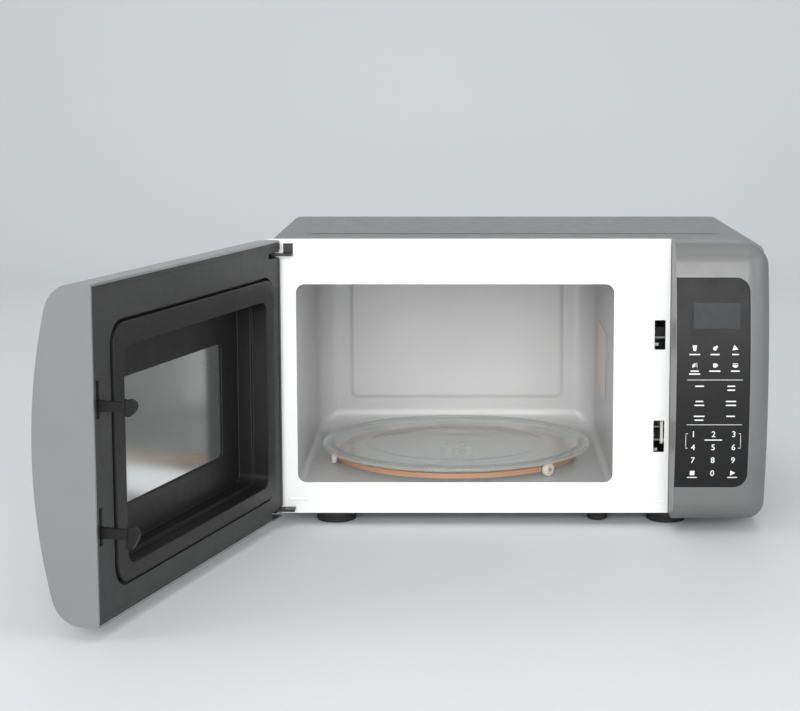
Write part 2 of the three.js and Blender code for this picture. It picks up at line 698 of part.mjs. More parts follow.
function rollerRing() {
  const { inner, outer, bottom, top } = ROLLER_RING;
  const hoop = rod("z", [bottom, top], [TABLE.x, TABLE.y], outer, 40).subtract(
    rod("z", [bottom - 1, top + 1], [TABLE.x, TABLE.y], inner, 40),
  );
  const axles = WHEEL_ANGLES.map((angle) => {
    const length = WHEEL.circle + WHEEL.width / 2 + 1.2 - (outer - 2);
    const stub = new THREE.CylinderGeometry(WHEEL.axle, WHEEL.axle, length, 12);
    stub.rotateZ(Math.PI / 2).translate(outer - 2 + length / 2, 0, 0);
    stub.rotateZ(THREE.MathUtils.degToRad(angle));
    return solid(stub.translate(TABLE.x, TABLE.y, wheelCentreZ));
  });
  return join(hoop, ...axles);
}

/** One wheel round the X axis at its own origin; its group places it on the ring. */
function rollerWheel() {
  const half = WHEEL.width / 2;
  return rod("x", [-half, half], [0, 0], WHEEL.radius, 24).subtract(
    rod("x", [-half - 1, half + 1], [0, 0], WHEEL.bore, 12),
  );
}

// ---- Lamp and feet ----

const LAMP = { x: 124, y: LAMP_HOLES.y + 5, z: 208, bulb: 9, cap: [126, 141], capRadius: 5.5 };
const SOCKET = { x: [135, 153], radius: 9, bore: [134, 142], boreRadius: 6, flange: [141, 142.5] };

function cavityLamp() {
  const bulb = new THREE.SphereGeometry(LAMP.bulb, 10, 7).translate(LAMP.x, LAMP.y, LAMP.z);
  return join(solid(bulb), rod("x", LAMP.cap, [LAMP.y, LAMP.z], LAMP.capRadius, 14));
}

function lampSocket() {
  const body = rod("x", SOCKET.x, [LAMP.y, LAMP.z], SOCKET.radius, 18);
  const flange = block(SOCKET.flange, [LAMP.y - 16, LAMP.y + 16], [LAMP.z - 10, LAMP.z + 10]);
  return join(body, flange).subtract(rod("x", SOCKET.bore, [LAMP.y, LAMP.z], SOCKET.boreRadius, 14));
}

function foot({ x, y, radius, lift }) {
  const chamfer = 2.5;
  return turned(
    [
      [0, lift],
      [radius - chamfer, lift],
      [radius, lift + chamfer],
      [radius, FOOT_HEIGHT - GAP / 2],
      [0, FOOT_HEIGHT - GAP / 2],
    ],
    x,
    y,
    16,
  );
}

// ---- Control panel ----

const panelBlock = (inset, back = PANEL.back) => {
  const { left, right } = PANEL;
  return bowedBlock(left + inset, right, "right", back, inset);
};

function panelFrame() {
  const { left, right, back, wall } = PANEL;
  const corners = [0, CORNER.bottom, CORNER.top, 0];
  const silhouette = extrude("y", roundedOutline(left, right, BOW.bottom, BOW.top, corners, 7), [-FAR, FAR]);
  const innerOutline = roundedOutline(
    left + wall,
    right - wall,
    BOW.bottom + wall,
    BOW.top - wall,
    [0, CORNER.bottom - wall, CORNER.top - wall, 0],
    7,
  );
  const hollow = bowedBlock(left + wall, right, "right", back + 1, wall + OVERLAY.thickness).intersect(
    extrude("y", innerOutline, [-FAR, FAR]),
  );
  const recessOutline = roundedOutline(
    left - 1,
    OVERLAY.right + GAP,
    OVERLAY.bottom - GAP,
    OVERLAY.top + GAP,
    [0, OVERLAY.radius, OVERLAY.radius, 0],
  );
  const recess = extrude("y", recessOutline, [-FAR, -5]).subtract(
    bowedBlock(left - 3, right, "right", 0, OVERLAY.thickness + GAP),
  );
  const lookout = block([DISPLAY.left, DISPLAY.right], [-FAR, -20], [DISPLAY.bottom, DISPLAY.top]);
  return cut(panelBlock(0).intersect(silhouette), hollow, recess, lookout);
}

function controlOverlay() {
  const corners = [0, OVERLAY.radius, OVERLAY.radius, 0];
  const outline = extrude("y", outlineOf(OVERLAY, 0, corners), [-FAR, 0]);
  const skin = bowedBlock(PANEL.left - 3, PANEL.right, "right", 0).intersect(outline);
  return skin.subtract(bowedBlock(PANEL.left - 4, PANEL.right, "right", 1, OVERLAY.thickness));
}

const BOARD_FACE = -40.8; // front face of the control board
const PINS = { pitch: 8, count: 5, width: 1.5, room: 0.5 };
const CONTROL_BOARD = { left: 172, right: 234, bottom: 62, top: 258, thickness: 1.6 };
const CONTROL_PARTS = {
  relays: { x: [180, 200], y: [-40, -22], z: [80, 104], height: 17 },
  transformer: { x: [204, 230], y: [-40, -12], z: [80, 112] },
  sounder: { x: 188, y: [-40, -33], z: 150, radius: 7 },
};

/** The left edge of each of the display's pins. */
const pinPlaces = () => steps(DISPLAY.left + 4, PINS.pitch, PINS.count);

function displayModule() {
  const { left, right, bottom, top } = DISPLAY;
  const glass = block([left - 1, right + 1], [-46, BOARD_FACE - 0.5], [bottom - 1, top + 1]);
  const pins = pinPlaces().map((x) => block([x, x + PINS.width], [-42, -37.5], [bottom - 4, bottom]));
  return join(glass, ...pins);
}

function controlBoard() {
  const { left, right, bottom, top, thickness } = CONTROL_BOARD;
  const board = block([left, right], [BOARD_FACE, BOARD_FACE + thickness], [bottom, top]);
  const slotZ = [DISPLAY.bottom - 4 - PINS.room, DISPLAY.bottom + PINS.room];
  const pinSlots = pinPlaces().map((x) =>
    block([x - PINS.room, x + PINS.width + PINS.room], [BOARD_FACE - 1, BOARD_FACE + 3], slotZ),
  );
  const { relays, transformer, sounder } = CONTROL_PARTS;
  const cans = relays.z.map((z) => block(relays.x, relays.y, [z, z + relays.height]));
  const coil = block(transformer.x, transformer.y, transformer.z);
  const disc = rod("y", sounder.y, [sounder.x, sounder.z], sounder.radius, 18);
  return join(cut(board, ...pinSlots), ...cans, coil, disc);
}

// ---- Door switches behind the latch slots ----

// Lowest point of each switch body, and where its plunger stands.
const SWITCHES = {
  upper: { z: 194, plungerX: 150.2 },
  lower: { z: 84, plungerX: 150.2 },
  monitor: { z: 98, plungerX: 156.7 },
};
const SWITCH = { x: [133, 162], y: [38, 54], height: 10, plungerTip: 33.6, plungerEnd: 39.6 };
const BRACKET = {
  left: 126,
  right: 162.4,
  bottom: 60,
  top: 232,
  sheet: 2.2,
  wall: 2.4,
  rear: 60,
  shelf: 2,
  catchY: [14, 20],
  catchRight: 153,
};
const LEVER = { x: [155.2, 158.2], pivotY: 12, pivotZ: 88, pinRadius: 1.8, top: 109, tip: 33.1 };

function interlockBracket() {
  const { left, right, bottom, top, sheet, wall, rear, shelf, catchY, catchRight } = BRACKET;
  const front = FRONT_PLATE.thickness + GAP;
  const plate = block([left, right], [front, front + sheet], [bottom, top]);
  const windows = [LATCH_SLOT.upper, LATCH_SLOT.lower].map(([z0, z1]) =>
    block([LATCH_SLOT.left - 1, LATCH_SLOT.right + 1], [0, front + 3], [z0 - 1, z1 + 1]),
  );
  const sideWall = block([left, left + wall], [front, rear], [bottom, top]);
  const shelves = Object.values(SWITCHES).map(({ z }) =>
    block([left, SWITCH.x[1]], [SWITCH.y[0], rear], [z - GAP - shelf, z - GAP]),
  );
  const catches = HOOK_ARMS.map(({ head }) =>
    block([left, catchRight], catchY, [head[0] - 3.6, head[0] - 0.6]),
  );
  const { x, pivotY, pivotZ, pinRadius } = LEVER;
  const pivotArm = block([right - 2.4, right], [front, pivotY + 6], [pivotZ - 6, pivotZ + 6]);
  const pivotPin = rod("x", [x[0] - 0.2, right - 1.4], [pivotY, pivotZ], pinRadius, 12);
  return join(cut(plate, ...windows), sideWall, ...shelves, ...catches, pivotArm, pivotPin);
}

function doorSwitch({ z, plungerX }) {
  const body = block(SWITCH.x, SWITCH.y, [z, z + SWITCH.height]);
  const bore = block([plungerX - 2.3, plungerX + 2.3], [30, 42], [z + 2.7, z + 7.3]);
  const tabs = [136, 146, 156].map((x) => block([x, x + 1], [53, 62], [z + 3, z + 7]));
  return join(cut(body, bore), ...tabs);
}

function switchPlunger({ z, plungerX }) {
  const { plungerTip, plungerEnd } = SWITCH;
  return block([plungerX - 1.9, plungerX + 1.9], [plungerTip, plungerEnd], [z + 3.1, z + 6.9]);
}

/** A rocking lever beside the lower hook whose top finger reaches back to the monitor switch. */
function interlockLever() {
  const { x, pivotY, pivotZ, pinRadius, top, tip } = LEVER;
  const blade = block(x, [pivotY - 4, pivotY + 1], [pivotZ, top]);
  const finger = block(x, [pivotY, tip], [top - 6, top - 1]);
  const boss = rod("x", x, [pivotY, pivotZ], 4.6, 16);
  const bore = rod("x", [x[0] - 1, x[1] + 1], [pivotY, pivotZ], pinRadius + PIN_ROOM, 12);
  return join(blade, finger, boss).subtract(bore);
}

// ---- Door, drawn closed; its group swings it open ----

const hingePoint = [HINGE.x, HINGE.y];

/** The rounding of the hinge edge about the pin, so that the edge clears the front plate. */
function hingeEdgeTool(inset) {
  const corner = block([DOOR.left - 5, HINGE.x], [HINGE.y + 2, 5], [0, 310]);
  return corner.subtract(rod("z", [-5, 320], hingePoint, DOOR.inner - HINGE.y - inset, 40));
}

/** Slots that let the fixed hinge arms into the door, with room above and below each arm. */
function hingeSlots(room) {
  const reach = [HINGE.x - 12, HINGE.x + 26];
  return [HINGE.upper, HINGE.lower].map((z) =>
    block(reach, [-16.5, 3], [z - room, z + HINGE.armThickness + room]),
  );
}

function doorOuterCover() {
  const { left, right, inner, wall } = DOOR;
  const silhouette = roundedOutline(left, right, BOW.bottom, BOW.top, [8, 1, 1, 8], 4);
  const outside = bowedBlock(left, right, "left", inner).intersect(extrude("y", silhouette, [-FAR, 10]));
  const hollowOutline = roundedOutline(
    left + wall,
    right - wall,
    BOW.bottom + wall,
    BOW.top - wall,
    [6, 0, 0, 6],
    4,
  );
  const inside = bowedBlock(left, right - wall, "left", 5, wall);
  const hollow = inside.intersect(extrude("y", hollowOutline, [-FAR, 10]));
  const window = extrude("y", outlineOf(FRONT_GLASS, GAP), [-FAR, -20]);
  return cut(outside, hollow, window, hingeEdgeTool(0), ...hingeSlots(3.7));
}

function doorFrontGlass() {
  const { thickness } = FRONT_GLASS;
  const skin = bowedBlock(DOOR.left, DOOR.right, "left", 0, 0.4).subtract(
    bowedBlock(DOOR.left - 1, DOOR.right + 1, "left", 1, thickness + 0.4),
  );
  return skin.intersect(extrude("y", outlineOf(FRONT_GLASS), [-FAR, -20]));
}

function doorInnerFrame() {
  const face = DOOR.frameFace;
  const plate = extrude("y", outlineOf(DOOR_FRAME), [face - DOOR_FRAME.thickness, face], [outlineOf(GROOVE)]);
  const slits = HOOK_ARMS.map(({ slit }) => block([HOOK.left - 0.8, HOOK.right + 0.8], [-10, 2], slit));
  const lower = block([DOOR_FRAME.left - 1, DOOR_FRAME.left + 9], [-10, 2], [DOOR_FRAME.bottom - 1, 22]);
  return cut(plate, ...slits, ...hingeSlots(1.6), hingeEdgeTool(DOOR.wall + GAP), lower);
}

/** The ring that covers the choke, with the stepped walls and the floor of the recess round the window. */
function doorChokeCover() {
  const face = DOOR.ringFace;
  const ledge = face - RECESS.ledge;
  const floor = face - RECESS.floor;
  const { wall } = RECESS;
  const tube = (rect, grow, range, hole) => extrude("y", outlineOf(rect, grow), range, [hole]);
  const opening = outlineOf(RECESS);
  const inner = outlineOf(RECESS, -RECESS_STEP);
  const ring = tube(GROOVE, -GROOVE.width, [face - 3.4, face], opening);
  const upperWall = tube(RECESS, wall, [ledge - wall, face - 1], opening);
  const ledgeBand = tube(RECESS, wall, [ledge - wall, ledge], inner);
  const lowerWall = tube(RECESS, wall - RECESS_STEP, [floor - wall, ledge - 0.5], inner);
  const floorBand = tube(RECESS, wall - RECESS_STEP, [floor - wall, floor], outlineOf(WINDOW));
  return join(ring, upperWall, ledgeBand, lowerWall, floorBand);
}

const WINDOW_BACK = DOOR.ringFace - RECESS.floor - RECESS.wall - GAP;
const SCREEN_BACK = WINDOW_BACK - INNER_PANE - GAP;

function doorInnerWindow() {
  return extrude("y", outlineOf(WINDOW, 4), [WINDOW_BACK - INNER_PANE, WINDOW_BACK]);
}

function doorScreen() {
  return extrude("y", outlineOf(WINDOW, 9), [SCREEN_BACK - SCREEN_SHEET, SCREEN_BACK]);
}

/** The folded steel pan with the choke walls that carries the hinges and the screen. */
function doorPan() {
  const back = SCREEN_BACK - SCREEN_SHEET - GAP;
  const sheet = extrude("y", outlineOf(PAN), [back - SHEET, back], [outlineOf(WINDOW, 3)]);
  const rim = extrude("y", outlineOf(PAN), [back - SHEET / 2, PAN.front], [outlineOf(PAN, -SHEET)]);
  return join(sheet, rim);
}

/** A door-side hinge lug with its pin; the sign says which way the pin points. */
function doorHingeLug(armBottom, sign) {
  const armMiddle = armBottom + HINGE.armThickness / 2;
  const lugFace = armMiddle - sign * (HINGE.armThickness / 2 + 0.8);
  const lugZ = [lugFace, lugFace - sign * 2.5].sort((a, b) => a - b);
  const pinEnd = armMiddle + sign * (HINGE.armThickness / 2 + 2);
  const pinZ = [lugFace - sign, pinEnd].sort((a, b) => a - b);
  const lug = block([HINGE.x - 1, HINGE.x + 34], [-15, -6], lugZ);
  return join(lug, rod("z", lugZ, hingePoint, 4.5, 20), rod("z", pinZ, hingePoint, HINGE.pinRadius, 16));
}

/** A fixed hinge arm: a flat hook from the front plate to the pin, and its foot on the plate. */
function hingeArm(bottom, foot) {
  const z = [bottom, bottom + HINGE.armThickness];
  const eye = rod("z", z, hingePoint, 5, 20);
  const reachArm = block([HINGE.x, HINGE.x + 20], [HINGE.y - 4.2, HINGE.y + 3], z);
  const shank = block([HINGE.x + 11, HINGE.x + 21], [HINGE.y - 4.2, -GAP], z);
  const bore = rod("z", [bottom - 1, bottom + 9], hingePoint, HINGE.pinRadius + PIN_ROOM, 16);
  return join(eye, reachArm, shank, foot).subtract(bore);
}

function upperHingeBracket() {
  const x = [HINGE.x + 11, HINGE.x + 21];
  const pad = block(x, [-1.2, -GAP], [HINGE.upper - 1, HINGE.upper + 12]);
  return hingeArm(HINGE.upper, pad);
}

function lowerHingeBracket() {
  const behind = FRONT_PLATE.thickness + GAP;
  const z = [HINGE.lower, HINGE.lower + HINGE.armThickness];
  const through = block([HINGE.x - 3, HINGE.x + 5], [-1.3, behind + 1], z);
  const link = block([HINGE.x - 3, HINGE.x + 20], [-5, -1], z);
  const pad = block([HINGE.x - 3, HINGE.x + 11], [behind, behind + 1.2], [HINGE.lower, HINGE.lower + 16]);
  return hingeArm(HINGE.lower, join(through, link, pad));
}

/** The sliding latch bar with its two hooks. */
function latchBar() {
  const x = [HOOK.left, HOOK.right];
  const bar = block(x, [-20, -8], [72, 212]);
  const hooks = HOOK_ARMS.flatMap(({ arm, head }) => [
    block(x, [-9, HOOK.reach - 1], arm),
    block(x, [HOOK.reach - HOOK.head, HOOK.reach], head),
  ]);
  return join(bar, ...hooks);
}

class Coil extends THREE.Curve {
  constructor(x, y, bottom, height, radius, turns) {
    super();
    Object.assign(this, { x, y, bottom, height, radius, turns });
  }

  getPoint(t, target = new THREE.Vector3()) {
    const angle = t * this.turns * 2 * Math.PI;
    const [u, v] = [this.radius * Math.cos(angle), this.radius * Math.sin(angle)];
    return target.set(this.x + u, this.y + v, this.bottom + this.height * t);
  }
}

function latchSpring() {
  const wire = new THREE.Shape(arc(0, 0, 0.6, 0, 2 * Math.PI, 4).slice(0, 4));
  const path = new Coil((HOOK.left + HOOK.right) / 2, -14, 43, 27, 3.4, 5);
  return solid(new THREE.ExtrudeGeometry(wire, { steps: 36, extrudePath: path, bevelEnabled: false }));
}

// ---- Assembly ----

/** Adds one named mesh with its own material to a group. */
function add(group, name, made, finish) {
  const [color, roughness, metalness] = FINISHES[finish];
  const material = new THREE.MeshStandardMaterial({ color, roughness, metalness });
  const mesh = new THREE.Mesh(geometryOf(made), material);
  mesh.name = name;
  group.add(mesh);
  return mesh;
}

function buildCabinet() {
  const cabinet = new THREE.Group();
  add(cabinet, "outer_cabinet", outerCabinet(), "greyPaint");
  add(cabinet, "rear_panel", rearPanel(), "zincSteel");
  add(cabinet, "base_plate", basePlate(), "zincSteel");
  add(cabinet, "front_plate", frontPlate(), "whiteEnamel");
  add(cabinet, "cavity_box", cavityBox(), "cavityEnamel");
  add(cabinet, "waveguide_cover", waveguideCover(), "mica");
  add(cabinet, "cord_gland", cordGland(), "blackPlastic");
  REAR_SCREWS.forEach((place, i) => add(cabinet, `rear_screw_${i + 1}`, rearScrew(place), "zincSteel"));
  Object.entries(FEET).forEach(([name, sizes]) => add(cabinet, name, foot(sizes), "rubber"));
  return cabinet;
}

function buildPower() {
  const power = new THREE.Group();
  add(power, "waveguide", waveguide(), "zincSteel");
  add(power, "magnetron", magnetron(), "aluminium");
  add(power, "transformer_core", transformerCore(), "coreSteel");
  add(power, "transformer_coils", transformerCoils(), "copper");
  add(power, "hv_capacitor", hvCapacitor(), "aluminium");
  add(power, "hv_diode", hvDiode(), "blackPlastic");
  add(power, "filter_board", filterBoard(), "circuitGreen");
  add(power, "thermal_cutout", thermalCutout(), "blackPlastic");
  add(power, "fan_shroud", fanShroud(), "whitePlastic");
  add(power, "fan_motor", fanMotor(), "coreSteel");
  add(power, "fan_blade", fanBlade(), "whitePlastic");
  add(power, "cavity_lamp", cavityLamp(), "clearGlass");
  add(power, "lamp_socket", lampSocket(), "whitePlastic");
  return power;
}

function buildTurntable() {
  const turntable = new THREE.Group();
  add(turntable, "turntable_motor", turntableMotor(), "zincSteel");
  add(turntable, "turntable_coupler", turntableCoupler(), "whitePlastic");
  add(turntable, "glass_turntable", glassTurntable(), "clearGlass");
  add(turntable, "roller_ring", rollerRing(), "tanPlastic");
  WHEEL_ANGLES.forEach((angle, i) => {
    const wheel = add(turntable, `roller_wheel_${i + 1}`, rollerWheel(), "whitePlastic");
    const turn = THREE.MathUtils.degToRad(angle);
    const reach = [WHEEL.circle * Math.cos(turn), WHEEL.circle * Math.sin(turn)];
    wheel.position.set(TABLE.x + reach[0], TABLE.y + reach[1], wheelCentreZ);
    wheel.rotation.z = turn;
  });
  return turntable;
}

function buildControls() {
  const controls = new THREE.Group();
  add(controls, "control_panel_frame", panelFrame(), "greyPaint");
  add(controls, "control_overlay", controlOverlay(), "blackGloss");
  add(controls, "display_module", displayModule(), "darkGlass");
  add(controls, "control_board", controlBoard(), "circuitGreen");
  add(controls, "interlock_bracket", interlockBracket(), "whitePlastic");
  Object.entries(SWITCHES).forEach(([name, sizes]) => {
    add(controls, `${name}_door_switch`, doorSwitch(sizes), "blackPlastic");
    add(controls, `${name}_switch_plunger`, switchPlunger(sizes), "tanPlastic");
  });
  add(controls, "interlock_lever", interlockLever(), "whitePlastic");
  add(controls, "upper_hinge_bracket", upperHingeBracket(), "coreSteel");
  add(controls, "lower_hinge_bracket", lowerHingeBracket(), "coreSteel");
  return controls;
}

/** The door swings about its pins: the outer group stands on the pin and turns. */
function buildDoor() {
  const swing = new THREE.Group();
  swing.position.set(HINGE.x, HINGE.y, 0);
  swing.rotation.z = -DOOR_OPEN;
  const door = new THREE.Group();
  door.position.set(-HINGE.x, -HINGE.y, 0);
  swing.add(door);
  add(door, "door_outer_cover", doorOuterCover(), "silverPlastic");
  add(door, "door_front_glass", doorFrontGlass(), "darkGlass");
  add(door, "door_inner_frame", doorInnerFrame(), "darkPlastic");
  add(door, "door_choke_cover", doorChokeCover(), "blackPlastic");
  add(door, "door_inner_window", doorInnerWindow(), "filmGlass");
  add(door, "door_screen", doorScreen(), "aluminium");
  add(door, "door_pan", doorPan(), "zincSteel");
  add(door, "upper_door_hinge", doorHingeLug(HINGE.upper, 1), "coreSteel");
  add(door, "lower_door_hinge", doorHingeLug(HINGE.lower, -1), "coreSteel");
  add(door, "latch_bar", latchBar(), "blackPlastic");
  add(door, "latch_spring", latchSpring(), "zincSteel");
  return swing;
}

const oven = new THREE.Group();
oven.name = "microwave_oven";
oven.add(buildCabinet(), buildPower(), buildTurntable(), buildControls(), buildDoor());

// The origin stands in the middle of the footprint, on the table.
const outline = new THREE.Box3().setFromObject(oven, true);
const footprint = outline.getCenter(new THREE.Vector3());
oven.position.set(-footprint.x, -footprint.y, -outline.min.z);

export default oven;
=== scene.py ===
"""A counter-top microwave oven with its door swung open: the visible surfaces on the fixed frame.

Pieces are modelled in millimetres in the cabinet's own frame: X = 0 is the middle of the cabinet,
Y = 0 the front of its front plate and Z = 0 the table. The door is modelled shut. A finished piece
is scaled to metres and put in its place, with the door turned open about its hinge.
"""

import json
import logging
import math
from collections.abc import Callable, Iterator, Sequence
from contextlib import contextmanager
from dataclasses import dataclass, field, replace
from enum import Enum

import bmesh
import bpy
from mathutils import Matrix, Vector


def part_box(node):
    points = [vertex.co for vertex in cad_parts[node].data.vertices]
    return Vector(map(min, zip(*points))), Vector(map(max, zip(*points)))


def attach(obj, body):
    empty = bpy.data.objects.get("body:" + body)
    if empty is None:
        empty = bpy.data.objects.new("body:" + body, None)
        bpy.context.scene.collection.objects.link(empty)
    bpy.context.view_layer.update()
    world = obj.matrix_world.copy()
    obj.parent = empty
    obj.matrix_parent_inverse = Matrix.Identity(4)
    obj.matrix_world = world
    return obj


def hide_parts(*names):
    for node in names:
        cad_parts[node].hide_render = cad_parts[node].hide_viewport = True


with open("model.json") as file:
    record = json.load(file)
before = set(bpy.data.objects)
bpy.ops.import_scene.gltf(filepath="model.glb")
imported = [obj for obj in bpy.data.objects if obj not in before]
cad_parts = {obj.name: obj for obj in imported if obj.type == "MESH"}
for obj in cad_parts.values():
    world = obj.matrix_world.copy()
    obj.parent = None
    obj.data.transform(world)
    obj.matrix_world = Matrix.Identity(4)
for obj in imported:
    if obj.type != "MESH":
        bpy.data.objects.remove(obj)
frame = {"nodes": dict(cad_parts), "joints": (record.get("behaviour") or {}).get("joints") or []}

LOG = logging.getLogger("oven")
MM = 0.001  # metres in a millimetre
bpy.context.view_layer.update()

Point = tuple[float, float, float]
Span = tuple[float, float]
Test = Callable[[Vector, Vector], bool]
Piece = bpy.types.Object
Tree = bpy.types.NodeTree
Socket = bpy.types.NodeSocket

THROUGH: Span = (-200.0, 200.0)  # longer than any cut through a front needs to be


class Axis(Enum):
    """A direction of the cabinet's frame."""

    X = 0
    Y = 1
    Z = 2


class Kind(Enum):
    """What an edit-mode selection is made of."""

    VERT = "VERT"
    EDGE = "EDGE"
    FACE = "FACE"


class Place(Enum):
    """Where a piece modelled in cabinet millimetres goes."""

    CABINET = "cabinet"
    DOOR = "door"


# ---- Places in the frame ----


@dataclass(frozen=True)
class Box:
    """A box in cabinet millimetres."""

    left: float
    right: float
    front: float
    back: float
    bottom: float
    top: float


def cabinet_matrix() -> Matrix:
    """The step from cabinet millimetres to the frame's metres.

    Returns:
        A matrix that puts the cabinet's lowest corner where the frame has it.
    """
    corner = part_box("outer_cabinet")[0]
    wrapper_corner = Vector((-259.5, 2.0, 13.0))
    return Matrix.Translation(corner - wrapper_corner * MM) @ Matrix.Scale(MM, 4)


def door_matrix() -> Matrix:
    """The step from the shut door's millimetres to the open door in the frame.

    Returns:
        The cabinet's matrix, turned open about the hinge pin.
    """
    hinge = next(joint for joint in frame["joints"] if joint["name"] == "door_hinge")
    pin = Matrix.Translation(Vector(hinge["pos_m"]))
    opened = Matrix.Rotation(-math.radians(hinge["range_deg"][1]), 4, "Z")
    return pin @ opened @ pin.inverted() @ cabinet_matrix()


PLACES = {Place.CABINET: cabinet_matrix(), Place.DOOR: door_matrix()}


def box_of(node: str, place: Place = Place.CABINET) -> Box:
    """Measures a CAD node in the millimetres that its pieces are modelled in.

    Args:
        node: Name of the CAD node.
        place: The frame in which the box is taken.

    Returns:
        The node's box.
    """
    back = PLACES[place].inverted()
    corners = [back @ vertex.co for vertex in frame["nodes"][node].data.vertices]
    low = [min(corner[i] for corner in corners) for i in range(3)]
    high = [max(corner[i] for corner in corners) for i in range(3)]
    return Box(low[0], high[0], low[1], high[1], low[2], high[2])


# ---- Modelling by hand ----


def only(*objects: Piece) -> None:
    """Selects these objects alone; the first one becomes the active one."""
    bpy.ops.object.select_all(action="DESELECT")
    for each in objects:
        each.select_set(True)
    bpy.context.view_layer.objects.active = objects[0]


@contextmanager
def editing(piece: Piece) -> Iterator[None]:
    """Opens a piece in edit mode with all of it selected.

    Args:
        piece: The mesh to edit.
    """
    only(piece)
    bpy.ops.object.mode_set(mode="EDIT")
    bpy.ops.mesh.select_mode(type="VERT")
    bpy.ops.mesh.select_all(action="SELECT")
    yield
    bpy.ops.object.mode_set(mode="OBJECT")


def pick(piece: Piece, kind: Kind, test: Test) -> None:
    """Selects the elements of an open mesh that pass a test.

    Args:
        piece: The mesh that is open in edit mode.
        kind: Vertices, edges or faces.
        test: Called with an element's middle and its direction or normal.
    """
    bpy.ops.mesh.select_mode(type=kind.value)
    bpy.ops.mesh.select_all(action="DESELECT")
    mesh = bmesh.from_edit_mesh(piece.data)
    mesh.normal_update()
    if kind is Kind.FACE:
        found = [face for face in mesh.faces if test(face.calc_center_median(), face.normal)]
    elif kind is Kind.EDGE:
        ends = [(edge, edge.verts[0].co, edge.verts[1].co) for edge in mesh.edges]
        found = [edge for edge, start, end in ends if test((start + end) / 2, (end - start).normalized())]
    else:
        found = [vertex for vertex in mesh.verts if test(vertex.co, vertex.normal)]
    for element in found:
        element.select_set(True)
    bmesh.update_edit_mesh(piece.data)


def select_whole() -> None:
    """Selects the whole of the open mesh."""
    bpy.ops.mesh.select_all(action="SELECT")


def face_outwards() -> None:
    """Points every normal of the open mesh outwards."""
    select_whole()
    bpy.ops.mesh.normals_make_consistent(inside=False)


def slide(x: float = 0.0, y: float = 0.0, z: float = 0.0) -> None:
    """Moves what is selected in edit mode."""
    bpy.ops.transform.translate(value=(x, y, z))


def pull(x: float = 0.0, y: float = 0.0, z: float = 0.0) -> None:
    """Extrudes the selected faces by a step."""
    bpy.ops.mesh.extrude_region_move(TRANSFORM_OT_translate={"value": (x, y, z)})


def stretch(x: float, y: float, z: float, about: Point) -> None:
    """Scales what is selected in edit mode about a point."""
    bpy.ops.transform.resize(value=(x, y, z), center_override=about)


def block(low: Point, high: Point) -> Piece:
    """Adds a box between two corners."""
    middle = [(a + b) / 2 for a, b in zip(low, high)]
    size = [b - a for a, b in zip(low, high)]
    bpy.ops.object.select_all(action="DESELECT")
    bpy.ops.mesh.primitive_cube_add(size=1, location=middle, scale=size)
    bpy.ops.object.transform_apply(location=True, rotation=True, scale=True)
    return bpy.context.object


def drum(axis: Axis, span: Span, centre: Span, radius: float, sides: int = 32) -> Piece:
    """Adds a cylinder along an axis.

    Args:
        axis: The cylinder's own direction.
        span: Its two ends on that axis.
        centre: Its other two coordinates, in order.
        radius: Its radius.
        sides: How many sides it has.

    Returns:
        The new object.
    """
    middle = (span[0] + span[1]) / 2
    location = list(centre)
    location.insert(axis.value, middle)
    quarter = math.pi / 2
    turn = {Axis.X: (0, quarter, 0), Axis.Y: (quarter, 0, 0), Axis.Z: (0, 0, 0)}[axis]
    bpy.ops.object.select_all(action="DESELECT")
    bpy.ops.mesh.primitive_cylinder_add(
        vertices=sides, radius=radius, depth=abs(span[1] - span[0]), location=location, rotation=turn
    )
    bpy.ops.object.transform_apply(location=True, rotation=True, scale=True)
    return bpy.context.object


def arc(u: float, v: float, radius: float, start: float, end: float, steps: int) -> list[Span]:
    """Points along an arc, both ends included.

    Args:
        u: First coordinate of the centre.
        v: Second coordinate of the centre.
        radius: The arc's radius.
        start: First angle in degrees.
        end: Last angle in degrees.
        steps: Number of straight stretches.

    Returns:
        The points as pairs.
    """
    angles = [math.radians(start + (end - start) * i / steps) for i in range(steps + 1)]
    return [(u + radius * math.cos(angle), v + radius * math.sin(angle)) for angle in angles]


def lifted(point: Span, axis: Axis, level: float) -> Vector:
    """Puts a pair of coordinates on the plane that crosses an axis at a level."""
    place = list(point)
    place.insert(axis.value, level)
    return Vector(place)


def wire(points: Sequence[Span], axis: Axis, level: float) -> Piece:
    """Draws a chain of edges from one vertex that is extruded from point to point.

    Args:
        points: The chain's corners in the plane across the axis.
        axis: The axis that the plane crosses.
        level: Where the plane crosses it.

    Returns:
        The new object.
    """
    places = [lifted(point, axis, level) for point in points]
    bpy.ops.object.select_all(action="DESELECT")
    bpy.ops.mesh.primitive_plane_add(size=1)
    piece = bpy.context.object
    with editing(piece):
        bpy.ops.mesh.merge(type="CENTER")
        slide(*places[0])
        for last, following in zip(places, places[1:]):
            step = following - last
            bpy.ops.mesh.extrude_vertices_move(TRANSFORM_OT_translate={"value": step})
    return piece


def cutout(points: Sequence[Span], axis: Axis, span: Span) -> Piece:
    """Makes a solid from an outline, between two levels on an axis."""
    piece = wire(points, axis, span[0])
    with editing(piece):
        bpy.ops.mesh.edge_face_add()
        step = [0.0, 0.0, 0.0]
        step[axis.value] = span[1] - span[0]
        pull(*step)
        face_outwards()
    return piece


